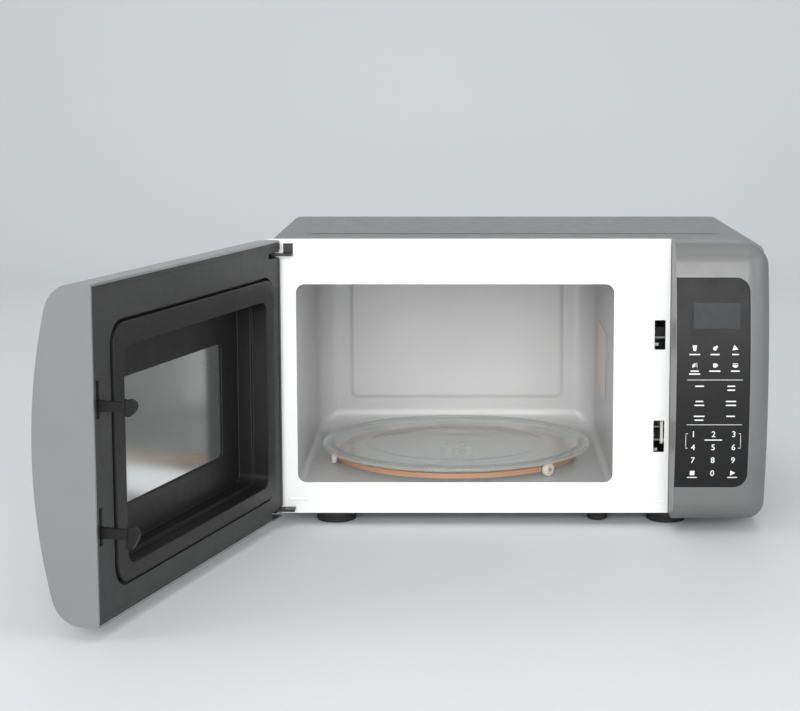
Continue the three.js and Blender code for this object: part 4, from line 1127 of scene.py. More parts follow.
@dataclass
class Cabinet:
    """The wrapper, the front plate, the back, the base and the feet."""

    pad: Rect = Rect(-225, 231, 115, 338)
    pad_corner: float = 12.0
    pad_height: float = 0.8
    pad_slope: float = 1.5
    bend: float = 10.0
    flange: float = 14.0
    opening: Rect = Rect(-224.5, 105, 44.8, 253.7, even(9))
    upper_slot: Rect = Rect(147.4, 158.6, 185.4, 216.2, even(1))
    lower_slot: Rect = Rect(147.4, 158.6, 77.1, 110.4, even(1))
    notch: Span = (17.0, 9.5)
    rib_radius: float = 3.0
    rib_rise: float = 0.55
    ribs: tuple[tuple[Axis, Span, float], ...] = (
        (Axis.X, (90, 145), 284.3),
        (Axis.Z, (262, 286), 143.5),
        (Axis.X, (117.4, 161.5), 23.8),
        (Axis.X, (-235.2, -212.1), 27.0),
    )
    screw_columns: Span = (-200.0, 200.0)
    screw_hole: float = 2.4
    screw_drop: float = 7.0
    screw_shank: float = 1.9
    screw_height: float = 2.2
    cross: Span = (2.2, 0.5)
    sheet_slots: Span = (-5.0, 5.0)

    def build(self) -> None:
        """Makes every piece of the cabinet."""
        self.wrapper()
        self.front_plate()
        deliver_eased("rear_panel", "rear_sheet", "cabinet", ZINC_SHEET, 0.25)
        self.rear_screws()
        deliver_eased("cord_gland", "gland_bush", "cabinet", BLACK_NYLON, 0.8, 3)
        deliver_eased("base_plate", "base_sheet", "cabinet", ZINC_SHEET, 0.2)
        self.feet()

    def wrapper(self) -> None:
        """Folds the top and sides from a box, opens the back and sets the raised pad on top."""
        box = box_of("outer_cabinet")
        top = box.top - self.pad_height
        shell = block((box.left, box.front, box.bottom), (box.right, box.back, top))
        with editing(shell):
            pick(shell, Kind.EDGE, lambda at, way: abs(way.y) > 0.9 and at.z > top - 1)
            bpy.ops.mesh.bevel(offset=self.bend, segments=14, affect="EDGES")
            pick(shell, Kind.FACE, lambda at, way: way.y < -0.9 or way.z < -0.9)
            bpy.ops.mesh.delete(type="FACE")
        thicken(shell, 1.0, -1)
        left, right = box.left + self.flange, box.right - self.flange
        opening = Rect(left, right, box.bottom - 2, top - self.flange, (0, 0, 3, 3))
        span, height = (box.back - 4, box.back + 2), top - self.screw_drop
        holes = [drum(Axis.Y, span, (x, height), self.screw_hole, 20) for x in self.screw_columns]
        carve(shell, opening.slab((box.back - 6, box.back + 2)), *holes)
        soften(shell, 0.3, 2, 40)
        weld(shell, self.raised_pad(top))
        deliver(shell, "wrapper_shell", "cabinet", FLAKE_PAINT, ["outer_cabinet"])

    def raised_pad(self, top: float) -> Piece:
        """Makes the field pressed up out of the top, with its sloped rim.

        Args:
            top: Height of the sheet round it.

        Returns:
            The pad, rooted half a millimetre inside the sheet.
        """
        root, rise = 0.5, self.pad_height
        pad = replace(self.pad, radii=even(self.pad_corner)).slab((top - root, top + rise), Axis.Z)
        wide, deep = self.pad.width, self.pad.height
        centre = (*self.pad.middle, top)
        slope = 2 * self.pad_slope
        with editing(pad):
            pick(pad, Kind.FACE, lambda at, way: way.z > 0.9)
            stretch((wide - slope) / wide, (deep - slope) / deep, 1, centre)
        return soften(pad, 0.35, 3, 12)

    def rib(self, axis: Axis, span: Span, at: float) -> Piece:
        """A stamped rib: a rod with rounded ends that stands a little out of the plate."""
        depth = self.rib_radius - self.rib_rise
        centre = {Axis.X: (depth, at), Axis.Z: (at, depth)}[axis]
        rod = drum(axis, span, centre, self.rib_radius, 40)
        return soften(rod, 2.6, 5, 50)

    def front_plate(self) -> None:
        """Cuts the white front plate and stamps its locating ribs."""
        box = box_of("front_plate")
        plate = Rect(box.left, box.right, box.bottom, box.top, (0, 0, 0, 10)).slab((box.front, box.back))
        across, up = self.notch
        notch = Rect(box.left - 9, box.left + across, box.bottom - 9, box.bottom + up, (0, 0, 5, 0))
        slots = [slot.slab(self.sheet_slots) for slot in (self.upper_slot, self.lower_slot)]
        carve(plate, self.opening.slab(self.sheet_slots), notch.slab(self.sheet_slots), *slots)
        soften(plate, 0.5, 3, 40)
        weld(plate, *(self.rib(*rib) for rib in self.ribs))
        deliver(plate, "front_plate_sheet", "cabinet", WHITE_POWDER, ["front_plate"])

    def rear_screws(self) -> None:
        """Turns the two pan-head screws and cuts their cross recesses."""
        for number in (1, 2):
            box = box_of(f"rear_screw_{number}")
            x, z = (box.left + box.right) / 2, (box.bottom + box.top) / 2
            face, radius = box.back, (box.right - box.left) / 2
            head = drum(Axis.Y, (face - self.screw_height, face), (x, z), radius, 40)
            with editing(head):
                pick(head, Kind.FACE, lambda at, way: way.y > 0.9)
                bpy.ops.mesh.bevel(offset=1.2, segments=5, affect="EDGES")
            weld(head, drum(Axis.Y, (box.front, face - 2), (x, z), self.screw_shank, 20))
            for wide, tall in (self.cross, self.cross[::-1]):
                carve(head, block((x - wide, face - 1.4, z - tall), (x + wide, face + 1, z + tall)))
            deliver(head, f"pan_head_{number}", "cabinet", SCREW_ZINC, [f"rear_screw_{number}"])

    def feet(self) -> None:
        """Turns the rubber feet: a grooved cup with a rounded rim and a dished sole."""
        for name in ("front_left", "front_right", "rear_left", "rear_right", "front_support"):
            box = box_of(f"foot_{name}")
            radius = (box.right - box.left) / 2
            centre = ((box.left + box.right) / 2, (box.front + box.back) / 2)
            low, high = box.bottom, box.top
            sole = radius - 2.5
            profile = [
                (0, low + 0.6), (sole - 4, low + 0.6), (sole - 3.2, low),
                *arc(sole, low + 2.2, 2.2, 270, 350, 6),
                (radius - 0.2, low + 5.2), (radius - 0.9, low + 5.7), (radius - 0.9, low + 6.5),
                (radius - 0.1, low + 7.0), (radius, high - 0.8), (radius - 0.8, high), (0, high),
            ]
            cup = turned(profile, centre, 64)
            deliver(cup, f"rubber_{name}", "cabinet", FOOT_RUBBER, [f"foot_{name}"])


# ---- Cavity ----


@dataclass
class Cavity:
    """The enamelled liner, its lamp window of small holes and the mica cover."""

    inside: Rect = Rect(-227.5, 108.0, 37.0, 258.0)
    front: float = 1.8
    back: float = 332.0
    flange: float = 8.0
    side_corner: float = 8.0
    back_corner: float = 26.0
    field_margin: float = 11.0
    field_corner: float = 10.0
    field_rim: tuple[Span, ...] = ((1.5, -0.2), (3.0, -1.4), (1.5, -0.2))
    feed: Rect = Rect(155, 240, 115, 175)
    lamp_corner: Span = (87.0, 180.0)
    lamp_pitch: float = 9.4
    lamp_columns: int = 2
    lamp_rows: int = 7
    lamp_hole: float = 1.7
    shaft: Span = (-59.7, 165.0)
    shaft_hole: float = 7.0

    def build(self) -> None:
        """Makes the liner and the cover."""
        self.liner()
        self.mica()

    def liner(self) -> None:
        """Shapes the inside of the cavity as one drawn sheet."""
        room, front, back = self.inside, self.front, self.back
        middle = Vector((room.middle[0], front, room.middle[1]))
        liner = room.slab((front, back))
        with editing(liner):
            pick(liner, Kind.EDGE, lambda at, way: at.y > back - 1e-3)
            bpy.ops.transform.edge_bevelweight(value=1.0)
            pick(liner, Kind.EDGE, lambda at, way: abs(way.y) > 0.9)
            bpy.ops.transform.edge_bevelweight(value=self.side_corner / self.back_corner)
        only(liner)
        rounding = liner.modifiers.new("rounding", "BEVEL")
        rounding.width = self.back_corner
        rounding.segments = 10
        rounding.limit_method = "WEIGHT"
        bpy.ops.object.modifier_apply(modifier=rounding.name)
        with editing(liner):
            bpy.ops.mesh.remove_doubles(threshold=0.05)
            pick(liner, Kind.FACE, lambda at, way: way.y < -0.99)
            bpy.ops.mesh.delete(type="FACE")
            pick(liner, Kind.FACE, lambda at, way: way.y > 0.99 and at.y > back - 1e-3)
            bpy.ops.mesh.inset(thickness=self.field_margin)
            bpy.ops.mesh.bevel(offset=self.field_corner, segments=8, affect="VERTICES")
            field_middle = Vector((middle.x, back, middle.z))
            pick(liner, Kind.FACE, lambda at, way: way.y > 0.99 and (at - field_middle).length < 5)
            for thickness, rise in self.field_rim:
                bpy.ops.mesh.inset(thickness=thickness, depth=rise)
            pick(liner, Kind.EDGE, lambda at, way: at.y < front + 1e-3)
            bpy.ops.mesh.extrude_edges_move(TRANSFORM_OT_translate={"value": (0, 0, 0)})
            rim = 2 * self.flange
            stretch((room.width + rim) / room.width, 1, (room.height + rim) / room.height, tuple(middle))
        thicken(orient(liner, Vector((0, 1, 0))), 1.0, 1)
        wall = (room.right - 4, room.right + 4)
        y, z = self.lamp_corner
        pitch = self.lamp_pitch
        holes = [
            drum(Axis.X, wall, (y + pitch * column, z + pitch * row), self.lamp_hole, 16)
            for column in range(self.lamp_columns)
            for row in range(self.lamp_rows)
        ]
        shaft = drum(Axis.Z, (room.bottom - 7, room.bottom + 3), self.shaft, self.shaft_hole, 40)
        carve(liner, gather(*holes), self.feed.slab(wall, Axis.X), shaft)
        deliver(liner, "cavity_liner", "cabinet", CAVITY_ENAMEL, ["cavity_box"], smooth=50)

    def mica(self) -> None:
        """Rounds the corners and edges of the mica cover over the microwave feed."""
        box = box_of("waveguide_cover")
        cover = Rect(box.front, box.back, box.bottom, box.top, even(5)).slab((box.left, box.right), Axis.X)
        soften(cover, 0.2, 2, 40)
        deliver(cover, "mica_cover", "cabinet", MICA_BOARD, ["waveguide_cover"])


# ---- Turntable ----


@dataclass
class Turntable:
    """The glass tray, the roller ring with its wheels and the three-lobed coupler."""

    step: float = 98.0
    ridge: float = 137.0
    wheel_turns: tuple[float, ...] = (-45.0, -165.0, 75.0)
    circle: float = 141.5
    axle_height: float = 44.6
    axle: float = 1.8
    key_circle: float = 14.0
    key: float = 4.0
    key_turns: tuple[float, ...] = (60.0, 180.0, 300.0)
    channel: Rect = Rect(130.0, 135.5, 41.5, 47.5)
    channel_corner: float = 0.8
    boss_half: float = 7.0
    wheel: float = 7.3
    wheel_half: float = 2.8
    wheel_bore: float = 2.2
    box: Box = field(default_factory=lambda: box_of("glass_turntable"))

    @property
    def centre(self) -> Span:
        """X and Y of the turntable's axis."""
        return ((self.box.left + self.box.right) / 2, (self.box.front + self.box.back) / 2)

    def build(self) -> None:
        """Makes the tray, the ring, the wheels and the coupler."""
        self.tray()
        self.ring()
        self.wheels()
        deliver_eased("turntable_coupler", "drive_coupler", "coupler", MILKY_ACETAL, 1.0, 3)

    def tray(self) -> None:
        """Spins the glass tray with its rim, its inner ridge and its sunken middle."""
        radius, top = (self.box.right - self.box.left) / 2, self.box.top
        step, ridge = self.step, self.ridge
        under = top - 4.7
        face = top - 1.3
        profile = [
            (0, under - 3.2), (step - 4, under - 3.2), *arc(step - 4, under - 0.2, 3, 270, 325, 4),
            (step + 2.5, under - 0.3), (step + 5, under), (radius - 6, under),
            *arc(radius - 3, under + 2.8, 3, 280, 360, 6),
            *arc(radius - 1.5, top - 1.5, 1.5, 10, 170, 8),
            (radius - 4.4, face - 0.9), (radius - 7, face - 0.6),
            (ridge + 4, face - 0.4), *arc(ridge, face - 1.4, 2.4, 60, 120, 6), (ridge - 4, face - 0.4),
            (step + 4, face - 0.2), *arc(step + 1, face - 1.6, 1.5, 80, 140, 4),
            (step - 2.5, under + 1.0), (step - 5, under + 0.6), (0, under + 0.6),
        ]
        tray = turned(profile, self.centre, 144)
        for turn in map(math.radians, self.key_turns):
            x, y = self.centre
            spot = (x + self.key_circle * math.cos(turn), y + self.key_circle * math.sin(turn))
            weld(tray, drum(Axis.Z, (self.box.bottom, under - 1), spot, self.key, 32))
        deliver(tray, "glass_tray", "turntable", TRAY_GLASS, ["glass_turntable"], smooth=50)

    def ring(self) -> None:
        """Spins the roller ring's channel and adds the three axle stubs."""
        inner, outer = self.channel.left, self.channel.right
        bottom, top = self.channel.bottom, self.channel.top
        bend = self.channel_corner
        profile = [
            *arc(outer - bend, bottom + bend, bend, 270, 360, 3),
            *arc(outer - bend, top - bend, bend, 0, 90, 3),
            *arc(inner + bend, top - bend, bend, 90, 180, 3),
            *arc(inner + bend, bottom + bend, bend, 180, 270, 3),
        ]
        ring = turned([*profile, profile[0]], self.centre, 128)
        x, y = self.centre
        reach = self.circle + 4
        stub = drum(Axis.X, (x + outer - 2, x + reach), (y, self.axle_height), self.axle, 24)
        near = (x + inner - 0.5, y - self.boss_half, bottom - 0.2)
        boss = block(near, (x + outer + 0.8, y + self.boss_half, top + 0.2))
        soften(boss, 1.0, 3, 40)
        weld(ring, *spun_copies(weld(stub, boss), self.centre, self.wheel_turns))
        deliver(ring, "roller_ring_moulding", "rollers", TAN_POLYESTER, ["roller_ring"])

    def wheels(self) -> None:
        """Turns one grooved wheel round its axle and copies it to the three axles."""
        half, radius, bore = self.wheel_half, self.wheel, self.wheel_bore
        profile = [
            (bore, -half), (radius - 2.2, -half), (radius - 1.8, -half + 0.5), (radius - 0.5, -half + 0.5),
            *arc(radius - 0.8, -half + 1.3, 0.8, 300, 360, 3), *arc(radius - 0.8, half - 1.3, 0.8, 0, 60, 3),
            (radius - 0.5, half - 0.5), (radius - 1.8, half - 0.5), (radius - 2.2, half),
            (bore, half), (bore, -half),
        ]
        wheel = turned(profile, (0.0, 0.0), 48)
        x, y = self.centre
        wheel.data.transform(Matrix.Rotation(math.pi / 2, 4, "Y"))
        wheel.data.transform(Matrix.Translation((x + self.circle, y, self.axle_height)))
        for number, copy in enumerate(spun_copies(wheel, self.centre, self.wheel_turns), start=1):
            name, cad_node = f"grooved_wheel_{number}", f"roller_wheel_{number}"
            deliver(copy, name, f"wheel_{number}", MILKY_ACETAL, [cad_node])


# ---- Control panel ----


@dataclass
class ControlPanel:
    """The bowed moulding beside the door, its keypad film and the printed legends."""

    left: float = 163.8
    right: float = 260.5
    back: float = 1.2
    wall: float = 2.6
    corners: tuple[float, float, float, float] = (0.0, 24.0, 30.0, 0.0)
    overlay: Rect = Rect(164.1, 238, 51, 266, (0, 14, 14, 0))
    display: Rect = Rect(181, 227.6, 215.4, 241, even(1.5))
    webs: tuple[Rect, ...] = (Rect(222, 259.3, 262, 295.5, (0, 0, 10, 0)), Rect(222, 259.3, 13.4, 45))
    columns: tuple[float, float, float] = (182.0, 202.4, 223.0)
    digit_rows: tuple[float, ...] = (107.7, 93.9, 80.2, 66.2)
    digit_size: float = 8.6
    picture_rows: Span = (196.0, 178.6)
    word_columns: Span = (187.3, 219.2)
    print_level: Span = (-80.0, -79.9)
    lookout: Rect = Rect(180, 226, 215, 243)
    web_depth: Span = (0.4, 1.9)
    ink: float = 0.1

    def build(self) -> None:
        """Makes the moulding and the film with its legends and display window."""
        self.moulding()
        self.film()

    def moulding(self) -> None:
        """Cuts the moulding's recess, its hollow and the display's window."""
        body = BOW.solid(self.left, self.right, Side.RIGHT, self.back)
        outline = Rect(self.left, self.right, BOW.bottom, BOW.top, self.corners)
        trim(body, outline.slab(THROUGH, steps=16))
        hollow = BOW.solid(self.left + self.wall, self.right, Side.RIGHT, self.back + 1, self.wall + 1)
        trim(hollow, outline.grown(-self.wall).slab(THROUGH, steps=16))
        seat = replace(self.overlay, left=self.left - 1).grown(0.3)
        recess = seat.slab((-200, -5), steps=12)
        carve(recess, BOW.solid(self.left - 5, self.right, Side.RIGHT, 0, 1.3))
        carve(body, hollow, recess, self.lookout.slab((-200, -20)))
        cleaned(body, 0.02, 0.2)
        soften(body, 0.7, 3, 30)
        weld(body, *(soften(web.slab(self.web_depth), 0.2, 2, 40) for web in self.webs))
        cad_node = "control_panel_frame"
        deliver(body, "panel_moulding", "cabinet", SILVER_LACQUER, [cad_node], smooth=40)

    def film(self) -> None:
        """Cuts the keypad film, prints it and lays the display window in it."""
        film = BOW.solid(self.left - 3, self.right, Side.RIGHT, 0, 0.1)
        trim(film, self.overlay.slab((-200, 0), steps=12))
        carve(film, BOW.solid(self.left - 5, self.right, Side.RIGHT, 1, 1.1))
        soften(film, 0.25, 2, 40)
        window = self.display.slab(self.print_level, steps=5)
        wear(film, KEYPAD_FILM)
        wear(window, DISPLAY_FILM)
        legends = gather(*self.legends())
        wear(legends, WHITE_INK)
        for flat in (window, legends):
            self.lay(flat, film)
        gather(film, window, legends)
        deliver(film, "keypad_film", "cabinet", None, ["control_overlay"], smooth=30)

    def lay(self, flat: Piece, film: Piece) -> None:
        """Wraps a flat print onto the film's bowed face and gives it the ink's thickness.

        Args:
            flat: The print, drawn upright in front of the film.
            film: The film that it lies on.
        """
        with editing(flat):
            pick(flat, Kind.FACE, lambda at, way: way.y > -0.9)
            bpy.ops.mesh.delete(type="FACE")
            select_whole()
            bpy.ops.mesh.remove_doubles(threshold=1e-4)
            for level in range(int(BOW.bottom), int(BOW.top), 6):
                select_whole()
                bpy.ops.mesh.bisect(plane_co=(0, 0, level), plane_no=(0, 0, 1))
        only(flat)
        wrap = flat.modifiers.new("lay", "SHRINKWRAP")
        wrap.target = film
        wrap.wrap_method = "PROJECT"
        wrap.use_project_y = True
        wrap.use_positive_direction = True
        wrap.use_negative_direction = True
        wrap.offset = self.ink / 2
        bpy.ops.object.modifier_apply(modifier=wrap.name)
        thicken(flat, self.ink, 0)

    def flat(self, rect: Rect) -> Piece:
        """A flat printed shape in front of the film."""
        return rect.slab(self.print_level, steps=4)

    def bar(self, x: float, z: float, length: float, height: float = 1.3) -> Piece:
        """A short bar that stands in for a printed word."""
        ends = (x - length / 2, x + length / 2, z - height / 2, z + height / 2)
        return self.flat(Rect(*ends, even(height * 0.45)))

    def digit(self, text: str, x: float, z: float) -> Piece:
        """Prints one numeral, centred on a place."""
        bpy.ops.object.select_all(action="DESELECT")
        place = (x, self.print_level[0], z - self.digit_size * 0.36)
        bpy.ops.object.text_add(location=place, rotation=(math.pi / 2, 0, 0))
        letter = bpy.context.object
        letter.data.body = text
        letter.data.size = self.digit_size
        letter.data.align_x = "CENTER"
        letter.data.resolution_u = 4
        letter.data.offset = 0.08
        bpy.ops.object.convert(target="MESH")
        bpy.ops.object.transform_apply(location=True, rotation=True, scale=True)
        return bpy.context.object

    def polygon(self, x: float, z: float, points: Sequence[Span]) -> Piece:
        """A flat printed polygon in front of the film, its points counted from a place."""
        return cutout([(x + u, z + v) for u, v in points], Axis.Y, self.print_level[::-1])

    def disc(self, x: float, z: float, radius: float) -> Piece:
        """A flat printed dot."""
        return drum(Axis.Y, self.print_level, (x, z), radius, 20)

    def pictograms(self) -> list[Piece]:
        """The six food pictures of the quick keys: tub, potato, slice, leaf, cup and bowl."""
        first, second, third = self.columns
        upper, lower = self.picture_rows
        return [
            self.polygon(first, upper, [(-2, 1), (-1.4, -3), (1.4, -3), (2, 1)]),
            *(self.disc(first + step, upper + 1.9, 0.85) for step in (-1.4, 0.0, 1.4)),
            self.polygon(second, upper, arc(0, -0.6, 2.0, 0, 340, 17)),
            self.disc(second + 1.6, upper + 1.0, 1.3),
            self.polygon(third, upper, [(-3, -2.4), (3, -1.6), (-1.2, 3)]),
            self.polygon(first, lower, [(-2.4, -2.6), (0.6, -1.4), (0.8, 2.4), (-2.2, 0.6)]),
            self.bar(first + 2.2, lower, 0.6, 5.4),
            self.flat(Rect(second - 1.8, second + 1.8, lower - 2.4, lower + 1.8, (1, 1, 0, 0))),
            self.flat(Rect(second + 2.2, second + 3.0, lower - 1.2, lower + 1.0, even(0.3))),
            self.polygon(third, lower, [(-3, 0.4), *arc(0, 0.4, 3, 180, 360, 10)]),
            self.bar(third, lower + 1.5, 5.2, 0.7),
        ]

    def legends(self) -> list[Piece]:
        """Everything that is printed on the film: numerals, pictures, rules and bars for the words."""
        first, second, third = self.columns
        shapes = self.pictograms()
        for text, z in zip(("123", "456", "789"), self.digit_rows):
            shapes += [self.digit(number, x, z) for number, x in zip(text, self.columns)]
        last = self.digit_rows[-1]
        shapes.append(self.digit("0", second, last))
        shapes += [self.bar(x, 189.4, length) for x, length in ((first, 11), (second, 9.5), (third, 7))]
        shapes += [self.bar(x, 172.6, length) for x, length in ((first, 8.5), (second, 11.5), (third, 9))]
        shapes.append(self.bar(first, 169.6, 11.5))
        shapes += [self.bar(202.8, z, 56, 0.5) for z in (163.6, 117.4)]
        inner, outer = self.word_columns
        for z, left, right in ((157.2, (9,), (8, 8)), (141.6, (8, 10), (10.5, 10.5)), (126.2, (11, 9), (9,))):
            shapes += [self.bar(inner, z - 4.0 * line, length) for line, length in enumerate(left)]
            shapes += [self.bar(outer, z - 4.0 * line, length) for line, length in enumerate(right)]
        shapes.append(self.bar(second, 101.4, 18, 1.1))
        for x, inward in ((174.4, 1), (230.0, -1)):
            shapes.append(self.bar(x, 100.4, 0.5, 15.4))
            shapes += [self.bar(x + inward, z, 2.2, 0.5) for z in (108.0, 92.8)]
        shapes.append(self.flat(Rect(first - 2.4, first + 2.4, last - 2.4, last + 2.4, even(0.6))))
        shapes.append(self.polygon(third, last, [(-2.2, -2.8), (3.0, 0), (-2.2, 2.8)]))
        shapes += [self.bar(x, last - 4.8, 10, 1.0) for x in (first, third)]
        return shapes


# ---- Door ----


@dataclass
class Door:
    """The door, modelled shut: cover, outer pane, inner frame, choke tray, window, hooks and hinges."""

    left: float = -252.5
    right: float = 161.0
    inner: float = -1.5
    wall: float = 2.2
    frame_face: float = -2.0
    ring_face: float = -0.7
    frame: Rect = Rect(-249.8, 158.4, 14.2, 298.3, (7, 0, 0, 7))
    groove: Rect = Rect(-233, 127, 35, 266, even(22))
    groove_width: float = 3.0
    recess: Rect = Rect(-211, 105, 51.5, 242, even(18))
    window: Rect = Rect(-169, 63, 89, 204, even(6))
    pane: Rect = Rect(-200, 112, 64, 249, even(12))
    ledge: float = 17.0
    floor: float = 32.0
    skirt: float = 7.0
    lip: float = 6.0
    hinge: Span = (-248.0, -10.0)
    arm_levels: Span = (284.5, 16.5)
    arm_thickness: float = 2.5
    slit: Span = (147.2, 153.2)
    slit_heights: tuple[Span, ...] = ((188, 220), (80, 112))
    hook: Span = (148.0, 152.4)
    hook_height: float = 9.7
    hook_levels: tuple[Span, ...] = ((194.0, 191.0), (86.5, 79.5))
    latch_bar: Rect = Rect(-20, -8, 72, 212, (2.0, 2.0, 2.0, 2.0))

    def build(self) -> None:
        """Makes every piece of the door."""
        self.cover()
        self.outer_pane()
        self.inner_frame()
        self.choke_tray()
        self.inner_pane()
        self.latch()
        for cad_node, name in (("upper_door_hinge", "upper_lug"), ("lower_door_hinge", "lower_lug")):
            deliver_eased(cad_node, name, "door", PHOSPHATE_STEEL)

    def hinge_slots(self, room: float) -> list[Piece]:
        """Cutters for the slots that let the fixed hinge arms into the door."""
        x = self.hinge[0]
        top = self.arm_thickness + room
        return [block((x - 12, -16.5, level - room), (x + 26, 3, level + top)) for level in self.arm_levels]

    def edge_cutter(self, inset: float) -> Piece:
        """Cutter that rounds the hinge edge about the pin."""
        x, y = self.hinge
        corner = block((self.left - 5, y + 2, 0), (x, 5, 310))
        return carve(corner, drum(Axis.Z, (-5, 320), (x, y), -y + self.inner - inset, 64))

    def cover(self) -> None:
        """Makes the bowed cover: a shell with its outer window and its hinge slots."""
        cover = BOW.solid(self.left, self.right, Side.LEFT, self.inner)
        outline = Rect(self.left, self.right, BOW.bottom, BOW.top, (8, 0, 0, 8))
        trim(cover, outline.slab(THROUGH))
        hollow = BOW.solid(self.left, self.right - self.wall, Side.LEFT, 5, self.wall)
        room = replace(outline, radii=(0, 0, 0, 0)).grown(-self.wall)
        trim(hollow, replace(room, radii=(6, 0, 0, 6)).slab(THROUGH))
        window = self.pane.grown(0.3).slab((-200, -20), steps=12)
        carve(cover, hollow, window, self.edge_cutter(0), *self.hinge_slots(3.7))
        cleaned(cover, 0.02, 0.2)
        soften(cover, 0.5, 3, 30)
        # The cover wears the door lacquer whose paler colour is painted light.
        finish, cad_node = PAINTED_LIT_DOOR_LACQUER, "door_outer_cover"
        deliver(cover, "door_cover", "door", finish, [cad_node], Place.DOOR, 40)

    def outer_pane(self) -> None:
        """Bends the dark outer pane to the bow."""
        pane = BOW.solid(self.left, self.right, Side.LEFT, 0, 0.4)
        carve(pane, BOW.solid(self.left - 2, self.right + 2, Side.LEFT, 1, 3.4))
        trim(pane, self.pane.slab((-200, -20), steps=12))
        soften(pane, 0.5, 3, 40)
        deliver(pane, "outer_pane", "door", DARK_GLASS, ["door_front_glass"], Place.DOOR)

    def inner_frame(self) -> None:
        """Cuts the dark plate round the choke, with a low step along its rim and the hook slits."""
        face = self.frame_face
        plate = self.frame.slab((face - 2.4, face))
        with editing(plate):
            pick(plate, Kind.FACE, lambda at, way: way.y > 0.9)
            bpy.ops.mesh.inset(thickness=3.2)
            bpy.ops.mesh.inset(thickness=0.8, depth=-0.6)
        left, right = self.slit
        slits = [block((left, -10, low), (right, 2, high)) for low, high in self.slit_heights]
        opening = self.groove.slab((-10, 2), steps=14)
        heel = block((self.frame.left - 1, -10, self.frame.bottom - 1), (self.frame.left + 9, 2, 22))
        carve(plate, opening, *slits, *self.hinge_slots(1.6), self.edge_cutter(self.wall + 0.3), heel)
        soften(plate, 0.3, 2, 40)
        finish, cad_node = SATIN_ABS, "door_inner_frame"
        deliver(plate, "inner_frame_plate", "door", finish, [cad_node], Place.DOOR)

    def choke_tray(self) -> None:
        """Draws the choke ring and the stepped recess down to the window as one tray."""
        face, rise = self.ring_face, self.groove.grown(-self.groove_width)
        tray = rise.slab((face - 1, face), steps=12)
        recess = self.recess
        middle = (rise.middle[0], face, rise.middle[1])
        wide, tall = rise.width, rise.height
        margin = 4.0
        with editing(tray):
            pick(tray, Kind.VERT, lambda at, way: at.y < face - 0.5)
            bpy.ops.mesh.delete(type="VERT")
            pick(tray, Kind.FACE, lambda at, way: way.y > 0.9)
            bpy.ops.mesh.inset(thickness=margin)
            step = 2 * margin
            stretch(recess.width / (wide - step), 1, recess.height / (tall - step), middle)
            slide(recess.middle[0] - middle[0], 0, recess.middle[1] - middle[2])
            pull(y=-self.ledge)
            bpy.ops.mesh.inset(thickness=3)
            pull(y=self.ledge - self.floor)
            pick(tray, Kind.EDGE, lambda at, way: at.y > face - 0.1 and self.on_rim(at, rise))
            bpy.ops.mesh.extrude_edges_move(TRANSFORM_OT_translate={"value": (0, -self.skirt, 0)})
            bpy.ops.mesh.extrude_edges_move(TRANSFORM_OT_translate={"value": (0, 0, 0)})
            lip = 2 * self.lip
            stretch((wide + lip) / wide, 1, (tall + lip) / tall, middle)
        thicken(orient(tray, Vector((0, 1, 0))), 2.0, -1)
        carve(tray, self.window.slab((-60, -20), steps=6))
        soften(tray, 1.1, 4, 30)
        finish, cad_node = CHOKE_PP, "door_choke_cover"
        deliver(tray, "choke_tray", "door", finish, [cad_node], Place.DOOR, 40)

    @staticmethod
    def on_rim(at: Vector, rim: Rect) -> bool:
        """Whether a point lies on a rounded rectangle's outline."""
        radius = rim.radii[0]
        u = max(abs(at.x - rim.middle[0]) - rim.width / 2 + radius, 0)
        v = max(abs(at.z - rim.middle[1]) - rim.height / 2 + radius, 0)
        return abs(math.hypot(u, v) - radius) < 0.6

    def inner_pane(self) -> None:
        """Cuts the reflective pane at the bottom of the tray."""
        box = box_of("door_inner_window", Place.DOOR)
        pane = Rect(box.left, box.right, box.bottom, box.top, even(10)).slab((box.front, box.back))
        soften(pane, 0.3, 2, 40)
        deliver(pane, "inner_pane", "door", MIRROR_FILM, ["door_inner_window"], Place.DOOR)

    def latch(self) -> None:
        """Cuts the latch bar with its two hooks: a curved arm and a drooping, rounded head."""
        x = self.hook
        bar = self.latch_bar.slab(x, Axis.X, steps=4)
        hooks = []
        for low, nose in self.hook_levels:
            high = low + self.hook_height
            head = high - 3.4
            outline = [
                (-9, low), (18, low + 0.6), *arc(19, low - 1.4, 2, 90, 0, 4), (21.4, nose + 3),
                *arc(25.4, nose + 4, 4, 190, 290, 6), (32.0, head - 4), *arc(27.4, head, 5.6, -20, 130, 8),
                (19.5, high - 0.6), (-9, high),
            ]
            hook = cutout(outline, Axis.X, x)
            ridge = Rect(20.6, 22.6, nose - 0.4, high + 1.8, even(0.9))
            hooks.append(weld(hook, ridge.slab((x[0] - 0.5, x[1] + 0.5), Axis.X, steps=4)))
        weld(bar, *hooks)
        soften(bar, 0.5, 3, 35)
        deliver(bar, "latch_hooks", "latch", BLACK_ACETAL, ["latch_bar"], Place.DOOR)


# ---- What shows through the slots, and the parts inside ----


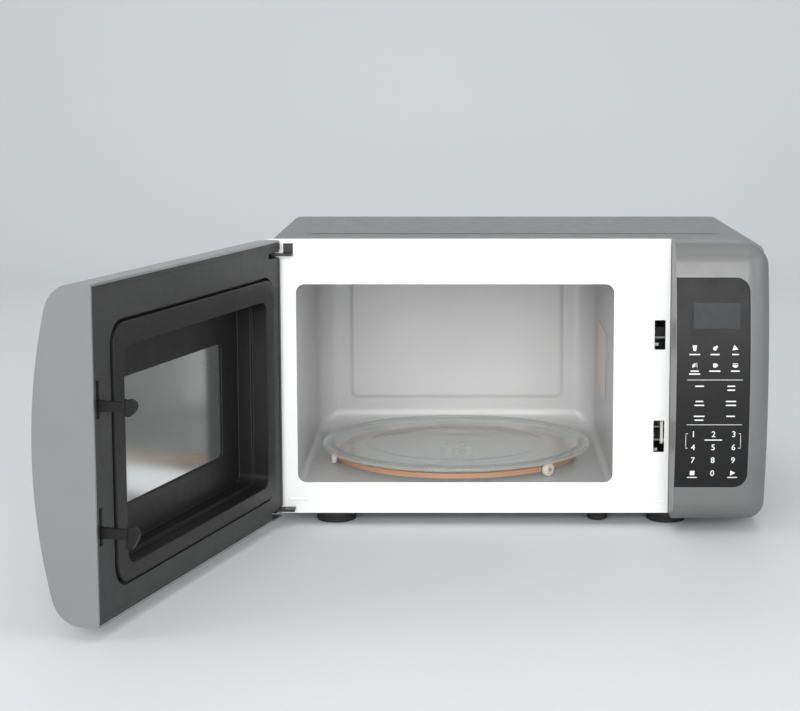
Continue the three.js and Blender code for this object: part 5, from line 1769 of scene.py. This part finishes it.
@dataclass(frozen=True)
class Works:
    """The interlock behind the slots, the fixed hinges and the finishes of the inner parts."""

    switches: tuple[str, ...] = ("upper", "lower", "monitor")
    inner: tuple[tuple[Finish, tuple[str, ...]], ...] = (
        (ZINC_SHEET, ("waveguide", "turntable_motor", "door_pan")),
        (ROLLED_ALUMINIUM, ("magnetron", "hv_capacitor")),
        (LAMINATIONS, ("transformer_core", "fan_motor")),
        (WOUND_COPPER, ("transformer_coils",)),
        (BLACK_NYLON, ("hv_diode", "thermal_cutout")),
        (SOLDER_MASK, ("filter_board", "control_board")),
        (MILKY_ACETAL, ("fan_shroud", "fan_blade", "lamp_socket")),
        (BULB_GLASS, ("cavity_lamp",)),
        (DARK_GLASS, ("display_module",)),
        (SCREEN_SHEET, ("door_screen",)),
        (SCREW_ZINC, ("latch_spring",)),
    )

    def build(self) -> None:
        """Eases what shows through the slots and finishes the hidden parts."""
        deliver_eased("interlock_bracket", "interlock_frame", "cabinet", MILKY_ACETAL)
        deliver_eased("interlock_lever", "rocking_lever", "lever", MILKY_ACETAL)
        for which in self.switches:
            name = f"{which}_switch_body"
            deliver_eased(f"{which}_door_switch", name, "cabinet", BLACK_NYLON)
        for which in self.switches:
            name, body = f"{which}_plunger_tip", f"{which}_plunger"
            deliver_eased(f"{which}_switch_plunger", name, body, TAN_POLYESTER, 0.5)
        for which in ("upper", "lower"):
            name = f"{which}_hinge_arm"
            deliver_eased(f"{which}_hinge_bracket", name, "cabinet", PHOSPHATE_STEEL)
        for finish, cad_nodes in self.inner:
            for cad_node in cad_nodes:
                for holder in frame["nodes"][cad_node].material_slots:
                    holder.material = finish.build()
                LOG.info("%s: finished as %s", cad_node, finish.name)


def main() -> None:
    """Builds the studio and every visible piece in order."""
    logging.basicConfig(level=logging.INFO, format="%(name)s: %(message)s")
    for part in (Studio(), Cabinet(), Cavity(), Turntable(), ControlPanel(), Door(), Works()):
        LOG.info("building %s", type(part).__name__)
        part.build()


if __name__ == "__main__":
    main()
